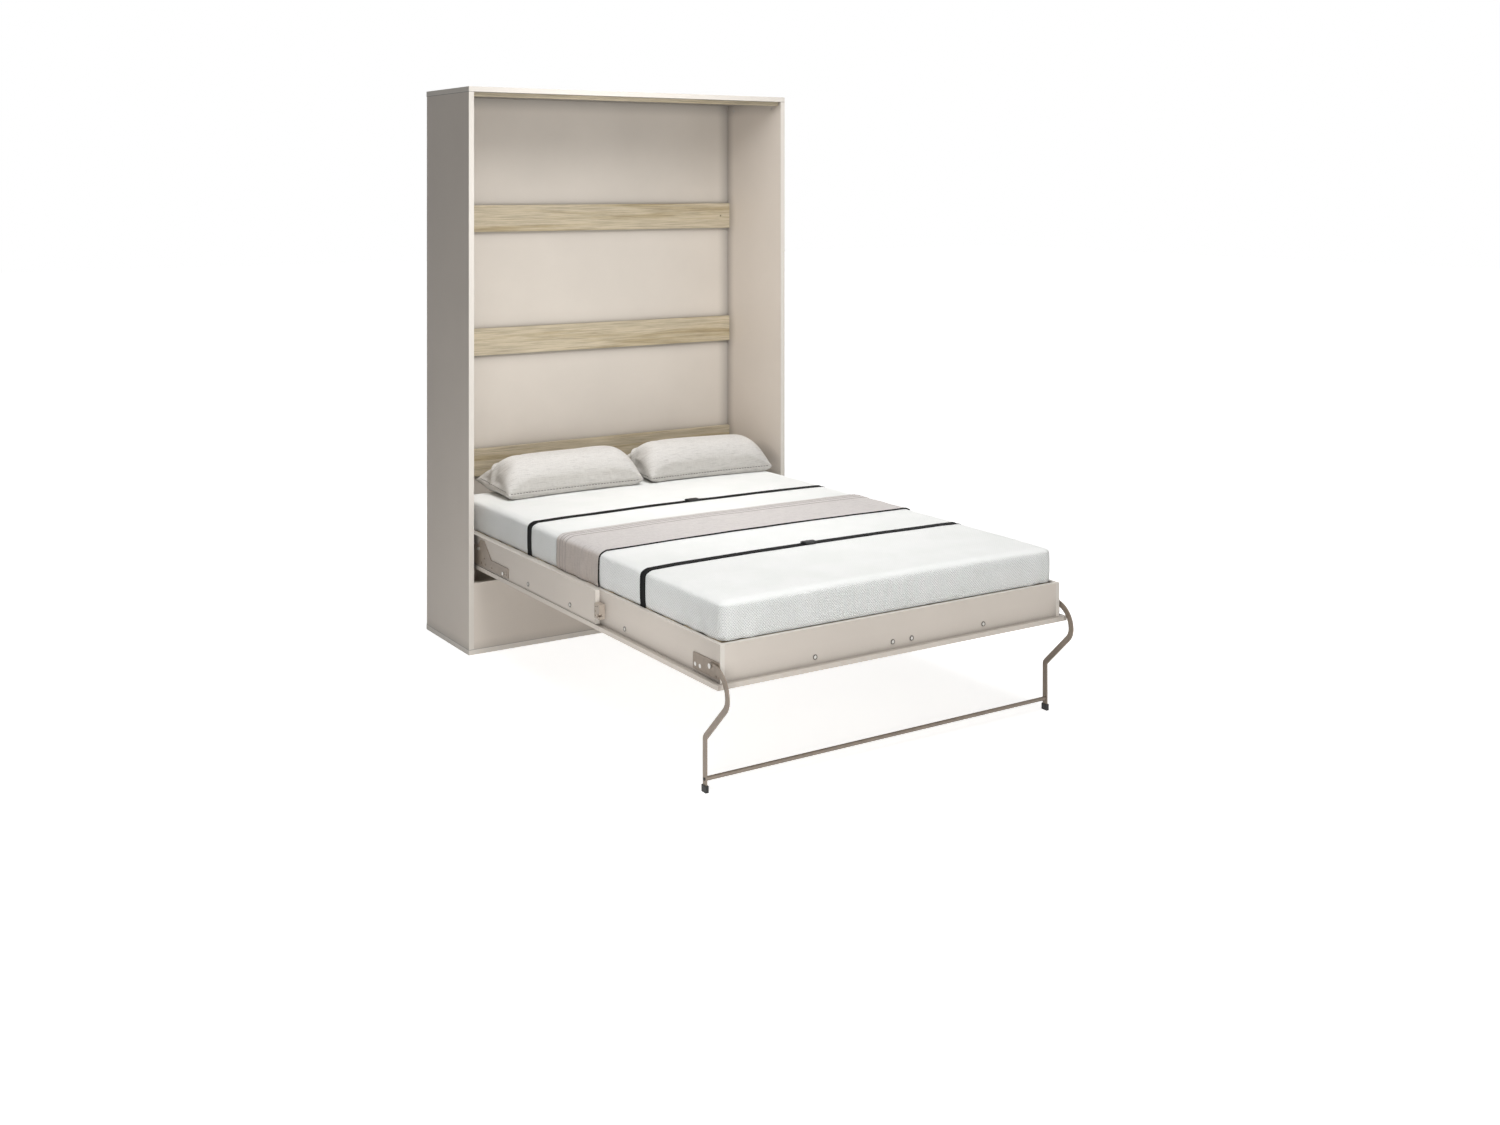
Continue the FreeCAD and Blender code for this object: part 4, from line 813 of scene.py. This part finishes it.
for strap_y in STRAP_MIDDLES.values():
    groove = STRAP_GROOVE * swell(place[:, 1] - strap_y, 0.014) * smooth_step(np.abs(across), 0.80, 0.97)
    lift -= groove + STRAP_DIP * swell(place[:, 1] - strap_y, 0.02)
lift += belly + hem + SIDE_EASE * sideways
top_side = smooth_step(facing[:, 2], 0.2, 0.9)
wave = TOP_WAVE * np.sin(place[:, 1] * 9 + place[:, 0] * 5) * np.sin(place[:, 0] * 11 - place[:, 1] * 4)
place += facing * lift[:, None]
place[:, 2] -= top_side * (CROWN_ACROSS * across ** 2 + CROWN_ALONG * np.abs(along) ** 6 + np.abs(wave))
set_coordinates(mattress, place)
stands_for(mattress, "mattress", "bed")
print("mattress cover of", len(place), "points and", len(PULL_FOLDS), "pull folds")

# %% [markdown]
# ## Laying cloth over the mattress
# The runner and the straps lie on the mattress and hang down each side to the bed's rail. They could
# be dropped on it in a simulation, but then their ends would land where they like. Here the mattress's
# outline, seen from the foot, gives each point its place along the cloth. A ray cast from outside
# finds the cover there, and the cloth stands a little way off it.

# %% Laying cloth over the mattress
RAIL_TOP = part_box("side_rail_head_left")[1].z
RAY_START = 0.06


def surface_tree(obj):
    """A search tree over an object's faces, for casting rays at it."""
    corners = [tuple(face.vertices) for face in obj.data.polygons]
    return BVHTree.FromPolygons([tuple(point) for point in coordinates(obj)], corners)


mattress_tree = surface_tree(mattress)


def profile(lowest):
    """The mattress's outline seen from the foot: points, outward directions and lengths along it."""
    half_wide, top, bend = half[0], mattress_high[2], ROUNDING
    line = [(-half_wide, z, -1.0, 0.0) for z in np.linspace(lowest, top - bend, 9)[:-1]]
    for angle in np.linspace(0, math.pi / 2, 9)[:-1]:
        out, rise = math.cos(angle), math.sin(angle)
        line.append((-half_wide + bend - bend * out, top - bend + bend * rise, -out, rise))
    line += [(x, top, 0.0, 1.0) for x in np.linspace(-half_wide + bend, 0, 46)]
    line = np.array(line)
    mirrored = line[:-1][::-1] * np.array([-1, 1, -1, 1])
    line = np.concatenate([line, mirrored])
    steps = np.linalg.norm(np.diff(line[:, :2], axis=0), axis=1)
    return line, np.concatenate([[0], np.cumsum(steps)])


def laid_over(ys, lowest, clear, waves):
    """Rows of points over the mattress at each y, standing clear of it, with a wave added outwards."""
    line, lengths = profile(lowest)
    rows = []
    for y in ys:
        row = []
        for (x, z, nx, nz), s in zip(line, lengths):
            direction = Vector((nx, 0, nz))
            origin = Vector((x, y, z)) + direction * RAY_START
            hit = mattress_tree.ray_cast(origin, -direction, 2 * RAY_START)[0]
            base = hit if hit is not None else Vector((x, y, z))
            row.append(base + direction * (clear + waves(s, y, lengths[-1])))
        rows.append(row)
    return np.array(rows), lengths


print("ready to lay cloth; rail top at", round(RAIL_TOP, 4))

# %% [markdown]
# ## The runner
# The runner is one hemmed length of cloth across the bed, with three raised lines near its head edge.
# It is a single grid with a thickness, because a real one is a single layer. A simulation could drape
# it, but sums of waves give its low folds too: they look irregular and come out the same each time.

# %% Runner
RUNNER_ROWS = 61
RUNNER_LINES = (0.030, 0.052, 0.078)
LINE_RISE, LINE_HALF_WIDTH = 0.0009, 0.004
HANG_LENGTH, HANG_DEPTH = 0.13, 0.0022
RUNNER_ABOVE_RAIL, RUNNER_CLEAR, RUNNER_THICK = 0.0035, 0.0014, 0.0022
runner_low, runner_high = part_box("bed_runner")
runner_ys = np.linspace(runner_high.y, runner_low.y, RUNNER_ROWS)


def runner_wave(s, y, total):
    """How far the runner stands off: raised lines, low folds, and fuller folds where it hangs."""
    from_head = runner_high.y - y
    lines = sum(LINE_RISE * math.exp(-((from_head - line) / LINE_HALF_WIDTH) ** 2) for line in RUNNER_LINES)
    soft = 0.0007 * math.sin(s * 7.1 + y * 3) + 0.0006 * math.sin(y * 46 + 1.3 * math.sin(s * 3))
    hanging = max(0.0, 1 - min(s, total - s) / HANG_LENGTH)
    side = HANG_DEPTH * hanging * (0.6 + math.sin(y * 52 + 0.7) + 0.5 * math.sin(y * 23))
    return lines + soft + 0.0014 + max(side, -0.001)


def cloth_sheet(name, rows, lengths, ys, thickness, material):
    """A sheet through rows of points, with its flat coordinates and a thickness."""
    flat_map = np.stack(np.broadcast_arrays(lengths[None, :], (ys[0] - ys)[:, None]), axis=-1)
    quads = grid_faces(*rows.shape[:2])
    sheet = mesh_object(name, rows.reshape(-1, 3), quads, material, flat_map.reshape(-1, 2))
    body = sheet.modifiers.new("thickness", "SOLIDIFY")
    body.thickness = thickness
    body.offset = 0
    return sheet


runner_points, runner_lengths = laid_over(runner_ys, RAIL_TOP + RUNNER_ABOVE_RAIL, RUNNER_CLEAR, runner_wave)
runner = cloth_sheet("bed_runner_cloth", runner_points, runner_lengths, runner_ys, RUNNER_THICK, runner_cloth)
stands_for(runner, "bed_runner", "bed")
print("runner of", len(runner.data.vertices), "points,", round(float(runner_lengths[-1]), 3), "long")

# %% [markdown]
# ## Piping and cords, painted shade
# A thin dark piping along the runner's foot edge is painted shade at the fold of that edge, and a
# darker cord in each raised line is painted shade along the line. Both are round and follow the cloth
# exactly, so each is a tube along one row of the runner's own points. A curve with a bevel could do
# that too, but a mesh has flat coordinates for its weave.

# %% Piping and cords
PIPING_RADIUS, PIPING_OUT = 0.0026, 0.001
CORD_RADIUS, CORD_UP = 0.0018, 0.0002


def tube_along(name, path, radius, material, sides=8):
    """A thin round tube that follows a row of points."""
    path = np.array(path)
    ahead = np.gradient(path, axis=0)
    ahead /= np.linalg.norm(ahead, axis=1, keepdims=True)
    side = np.cross(ahead, (0, 1, 0.001))
    side /= np.linalg.norm(side, axis=1, keepdims=True)
    other = np.cross(side, ahead)
    turns = np.linspace(0, 2 * math.pi, sides, endpoint=False)
    ring = (np.cos(turns)[None, :, None] * side[:, None, :] + np.sin(turns)[None, :, None] * other[:, None, :])
    tube = path[:, None, :] + radius * ring
    lengths = np.concatenate([[0], np.cumsum(np.linalg.norm(np.diff(path, axis=0), axis=1))])
    flat_map = np.stack(np.broadcast_arrays(lengths[:, None], turns[None, :] * radius), axis=-1)
    return mesh_object(name, tube.reshape(-1, 3), grid_faces(len(path), sides, wrap=True), material,
                       flat_map.reshape(-1, 2))


# The piping and the cords are painted shade along the runner's foot edge and raised lines
foot_edge = runner_points[-1] - np.array([0, PIPING_OUT, 0])
shade_piping = tube_along("runner_shade_piping", foot_edge, PIPING_RADIUS, piping_shade_cloth)
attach(shade_piping, "bed")
for number, line in enumerate(RUNNER_LINES):
    row = round(line / (runner_ys[0] - runner_ys[1]))
    path = runner_points[row] + np.array([0, 0, CORD_UP])
    cord = tube_along(f"runner_shade_cord_{number + 1}", path, CORD_RADIUS, cord_shade_cloth)
    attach(cord, "bed")
print("piping and", len(RUNNER_LINES), "cords")

# %% [markdown]
# ## Straps
# Two lengths of webbing are pulled tight over the mattress and hold it when the bed is folded up. They
# are laid like the runner, but closer to the cover and almost without waves, since a stretched band
# has no folds.

# %% Straps
STRAP_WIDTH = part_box("strap_head")[1].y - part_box("strap_head")[0].y
STRAP_ROWS = 7
STRAP_ABOVE_RAIL, STRAP_CLEAR, STRAP_THICK = 0.001, 0.0010, 0.0016


def strap_wave(s, y, total):
    """The webbing's faint unevenness along its length."""
    return 0.0004 + 0.0002 * math.sin(s * 31)


for name, middle_y in STRAP_MIDDLES.items():
    ys = np.linspace(middle_y + STRAP_WIDTH / 2, middle_y - STRAP_WIDTH / 2, STRAP_ROWS)
    strap_points, strap_lengths = laid_over(ys, RAIL_TOP + STRAP_ABOVE_RAIL, STRAP_CLEAR, strap_wave)
    strap = cloth_sheet(f"strap_{name}_webbing", strap_points, strap_lengths, ys, STRAP_THICK, webbing)
    stands_for(strap, f"strap_{name}", "bed")
print("straps at", {name: round(y, 3) for name, y in STRAP_MIDDLES.items()})

# %% [markdown]
# ## Buckles
# A small side-release buckle joins each strap on top of the mattress: a flat moulded body with prongs
# at its sides and a raised bar on it. A full buckle has a dozen surfaces, but at this size only its
# outline and its two steps show, so two plates with drawn-in edges stand for it.

# %% Buckles
MM = 0.001
BODY_HEIGHT, BODY_TAPER = 0.0055, 0.12
BAR_LOW, BAR_HIGH, BAR_TAPER, BAR_SHARE = 0.005, 0.0072, 0.2, 0.62
BUCKLE_SUNK = 0.0006
BUCKLE_X = {"head": 0.028, "foot": -0.016}
BUCKLE_OUTLINE = [(-25, -18), (-25, 18), (-15, 19), (-6, 19), (-3, 21), (5, 22), (8, 19), (17, 19), (25, 17),
                  (25, -17), (17, -19), (8, -19), (5, -22), (-3, -21), (-6, -19), (-15, -19)]


def rounded_plate(points_2d, low, high, taper):
    """Points and faces of a flat moulded piece from its outline, its top edge drawn in."""
    outline = np.array(points_2d)
    centre = outline.mean(axis=0)
    deep = high - low
    rings = [(low, 1.0), (low + 0.7 * deep, 1.0), (high - 0.12 * deep, 1 - taper * 0.5), (high, 1 - taper)]
    count = len(outline)
    rows = [np.column_stack([centre + (outline - centre) * scale, np.full(count, z)]) for z, scale in rings]
    faces = [tuple(f) for f in grid_faces(len(rings), count, wrap=True)]
    faces.append(tuple(range(count))[::-1])
    faces.append(tuple(range((len(rings) - 1) * count, len(rings) * count)))
    return np.concatenate(rows), faces


body_outline = [(a * MM, b * MM) for a, b in BUCKLE_OUTLINE]
bar_outline = [(a * MM, b * MM * BAR_SHARE) for a, b in BUCKLE_OUTLINE]
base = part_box("strap_buckles")[0].z - BUCKLE_SUNK
buckle_points, buckle_faces = [], []
for name, middle_y in STRAP_MIDDLES.items():
    body = rounded_plate(body_outline, base, base + BODY_HEIGHT, BODY_TAPER)
    bar = rounded_plate(bar_outline, base + BAR_LOW, base + BAR_HIGH, BAR_TAPER)
    for piece_points, piece_faces in (body, bar):
        start = sum(len(p) for p in buckle_points)
        buckle_points.append(piece_points + np.array([BUCKLE_X[name], middle_y, 0]))
        buckle_faces += [tuple(i + start for i in f) for f in piece_faces]
buckles = mesh_object("strap_buckle_bodies", np.concatenate(buckle_points), buckle_faces,
                      MATERIALS["black_plastic"])
buckles.data.polygons.foreach_set("use_smooth", np.zeros(len(buckles.data.polygons), bool))
stands_for(buckles, "strap_buckles", "bed")
print("buckles of", len(buckles.data.vertices), "points")

# %% [markdown]
# ## Filling a pillow
# Each pillow is a plump linen case, rounded between its seams. Its CAD form has the right size but
# looks stiff, and it could be softened by hand. Instead it gets an even skin of small quads, and a
# short cloth simulation with air inside rounds it. A limit on how far a point may move keeps the
# pillow inside the room that the folded bed leaves for it.

# %% Pillow filling
SKIN_QUAD = 0.007
AIR_PRESSURE, AIR_REACH, AIR_FRAMES = 3.0, 0.008, 20
SKIN_SMOOTHING = 6


def even_skin(node_name, name, voxel):
    """A copy of a CAD node's surface as an even mesh of small quads."""
    mesh = nodes[node_name].data.copy()
    mesh.name = name
    mesh.materials.clear()
    made = bpy.data.objects.new(name, mesh)
    bpy.context.scene.collection.objects.link(made)
    bpy.ops.object.select_all(action="DESELECT")
    made.select_set(True)
    bpy.context.view_layer.objects.active = made
    remesh = made.modifiers.new("skin", "REMESH")
    remesh.mode = "VOXEL"
    remesh.voxel_size = voxel
    bpy.ops.object.modifier_apply(modifier=remesh.name)
    return made


def blow_up(obj, pressure, cap, frames):
    """Fills the skin by a short cloth simulation, and holds each point within a cap of its start."""
    rest = coordinates(obj)
    cloth = obj.modifiers.new("air", "CLOTH")
    cloth.settings.use_pressure = True
    cloth.settings.uniform_pressure_force = pressure
    cloth.settings.effector_weights.gravity = 0
    cloth.settings.quality = 6
    cloth.settings.tension_stiffness = 25
    cloth.settings.compression_stiffness = 25
    cloth.point_cache.frame_start = 1
    cloth.point_cache.frame_end = frames
    for frame_number in range(1, frames + 1):
        bpy.context.scene.frame_set(frame_number)
    evaluated = obj.evaluated_get(bpy.context.evaluated_depsgraph_get())
    blown = np.zeros(len(obj.data.vertices) * 3)
    evaluated.data.vertices.foreach_get("co", blown)
    move = blown.reshape(-1, 3) - rest
    far = np.linalg.norm(move, axis=1, keepdims=True)
    move *= np.minimum(1, cap / np.maximum(far, 1e-9))
    obj.modifiers.remove(cloth)
    set_coordinates(obj, rest + move)
    bpy.context.scene.frame_set(1)


def evened(obj, passes):
    """Smooths away the small steps of the skin and splits each quad in four, ready for sharp folds."""
    bpy.context.view_layer.objects.active = obj
    for kind, settings in (("SMOOTH", {"factor": 0.5, "iterations": passes}), ("SUBSURF", {"levels": 1})):
        modifier = obj.modifiers.new(kind.lower(), kind)
        for key, value in settings.items():
            setattr(modifier, key, value)
        bpy.ops.object.modifier_apply(modifier=modifier.name)
    obj.data.polygons.foreach_set("use_smooth", np.ones(len(obj.data.polygons), bool))
    obj.data.update()


print("skin of", SKIN_QUAD, "m quads, blown up by", AIR_REACH, "m at most")

# %% [markdown]
# ## Pleats, seam and weave
# At the left end of each real pillow the linen is tucked into deep pleats that fan out from one
# point, and along the front runs a sewn seam with small puckers. A simulation would need the cutting
# pattern to find them. So they are shaped like the mattress's folds, with each pleat a slow rise and a
# steep fall across its own heading.

# %% Pleats, seam and weave
def pleat(angle, ridge, rise, fall):
    """A tucked pleat across its angle: a slow rise up to the ridge and a steep fall behind it."""
    before = smooth_step(angle, ridge - rise, ridge)
    return before * (1 - smooth_step(angle, ridge, ridge + fall))


PLEATS = [
    # heading of the ridge, its slow side and its steep side in degrees, height and length in metres
    (-12, 60, 9, 0.016, 0.15),
    (46, 42, 11, 0.017, 0.12),
]
SEAM_HEIGHT, SEAM_DEPTH, SEAM_HALF_WIDTH = 0.027, 0.0022, 0.0055
PUCKER_DEPTH, DENT_DEPTH, CREASE_DEPTH = 0.0013, 0.0035, 0.0009


def pillow_folds(obj, low, high):
    """Pleats that spread from the middle of the left seam, a sewn groove with puckers, and a flat base."""
    place, facing = coordinates(obj), normals(obj)
    height = place[:, 2] - low.z
    above = smooth_step(height, 0.030, 0.060)
    start = np.array([low.x + 0.016, high.y - 0.46 * (high.y - low.y)])
    away = place[:, :2] - start
    reach = np.linalg.norm(away, axis=1)
    angle = np.degrees(np.arctan2(away[:, 1], away[:, 0] + 0.010))
    move = np.zeros(len(place))
    for heading, rise, fall, deep, length in PLEATS:
        fade = smooth_step(reach, 0.002, 0.024) * (1 - smooth_step(reach, length * 0.4, length))
        move += deep * (pleat(angle, heading, rise, fall) - 0.45) * fade * above
    front = smooth_step(-facing[:, 1], 0.15, 0.8)
    move -= SEAM_DEPTH * swell(height - SEAM_HEIGHT, SEAM_HALF_WIDTH) * front
    x, y = place[:, 0], place[:, 1]
    run = (x - low.x) / (high.x - low.x)
    ripple = np.sin(x * 205 + 1.7 * np.sin(x * 47)) * (0.35 + 0.65 * np.sin(x * 61) ** 2)
    move += PUCKER_DEPTH * ripple * swell(height - SEAM_HEIGHT - 0.020, 0.017) * front * (0.35 + 0.65 * run)
    dent = swell(np.hypot(run - 0.62, (height - 0.085) / 0.16), 0.20)
    move -= DENT_DEPTH * dent * above
    creases = np.sin(x * 23 + y * 14 + 2 * np.sin(x * 7))
    move += CREASE_DEPTH * creases * above
    place += facing * move[:, None]
    place[:, 2] = np.maximum(place[:, 2], low.z + 0.0003)
    set_coordinates(obj, place)


def linen_map(obj):
    """Flat coordinates for the weave, along the pillow and up its slope."""
    place = coordinates(obj)
    layer = obj.data.uv_layers.new(name="cloth")
    corners = np.zeros(len(obj.data.loops), int)
    obj.data.loops.foreach_get("vertex_index", corners)
    flat_map = np.column_stack([place[:, 0], place[:, 2] + 0.9 * place[:, 1]]).astype(np.float32)
    layer.data.foreach_set("uv", flat_map[corners].ravel())


print(len(PLEATS), "pleats and a seam", SEAM_HEIGHT, "m above the mattress")

# %% [markdown]
# ## Stitches
# A coarse grey thread shows as dashes along the seam. A dashed line could be painted on, but real
# thread stands proud of the linen and dips into it at each end. So rays are cast at the finished
# pillow along the seam, and a thin four-sided dash is laid where each pair of them meets it.

# %% Stitches
STITCH_PITCH, STITCH_SHARE = 0.014, 0.62
THREAD_HALF_WIDTH, THREAD_HALF_DEEP, THREAD_PROUD = 0.0014, 0.0010, 0.0004
STITCH_RAY = 0.4


def stitches(name, obj, rows):
    """Short thread dashes along rows on the pillow, each given as a start, an end and its rays' direction."""
    tree = surface_tree(obj)
    pieces, quads = [], []
    for start, end, direction in rows:
        start, end, direction = Vector(start), Vector(end), Vector(direction)
        step = (end - start).normalized() * STITCH_PITCH
        for number in range(int((end - start).length / STITCH_PITCH)):
            ends = []
            for share in (0.0, STITCH_SHARE):
                hit, normal = tree.ray_cast(start + step * (number + share), direction, STITCH_RAY)[:2]
                if hit is not None:
                    ends.append(hit + normal * THREAD_PROUD)
            if len(ends) < 2 or (ends[1] - ends[0]).length > 2 * STITCH_PITCH:
                continue
            run = (ends[1] - ends[0]).normalized()
            side = run.cross(direction).normalized() * THREAD_HALF_WIDTH
            deep = run.cross(side).normalized() * THREAD_HALF_DEEP
            first = len(pieces)
            for place in ends:
                pieces += [tuple(place + side), tuple(place + deep), tuple(place - side), tuple(place - deep)]
            for k in range(4):
                quads.append((first + k, first + (k + 1) % 4, first + 4 + (k + 1) % 4, first + 4 + k))
            quads += [(first + 3, first + 2, first + 1, first), (first + 4, first + 5, first + 6, first + 7)]
    return mesh_object(name, pieces, quads, thread_material)


print("stitches", round(STITCH_PITCH * STITCH_SHARE * 1000, 1), "mm long")

# %% [markdown]
# ## Both pillows
# The two real pillows are alike, so both go through the same steps: skin, air, smoothing, folds,
# weave and stitches. One could be a mirrored copy of the other, but both have their pleats at the
# left, so the same recipe is run twice.

# %% Both pillows
for side_name in ("left", "right"):
    node_name = f"pillow_{side_name}"
    low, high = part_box(node_name)
    pillow = even_skin(node_name, f"pillow_{side_name}_linen", SKIN_QUAD)
    blow_up(pillow, AIR_PRESSURE, AIR_REACH, AIR_FRAMES)
    evened(pillow, SKIN_SMOOTHING)
    pillow_folds(pillow, low, high)
    linen_map(pillow)
    pillow.data.materials.append(linen_cloth)
    stands_for(pillow, node_name, "bed")
    sewn = low.z + SEAM_HEIGHT
    front_row = ((low.x + 0.02, low.y - 0.1, sewn), (high.x - 0.02, low.y - 0.1, sewn), (0, 1, 0))
    end_row = ((low.x - 0.1, low.y + 0.04, sewn + 0.006), (low.x - 0.1, high.y - 0.05, sewn + 0.020), (1, 0, 0))
    seam = stitches(f"pillow_{side_name}_stitches", pillow, (front_row, end_row))
    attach(seam, "bed")
    print(node_name, "has", len(pillow.data.vertices), "points")
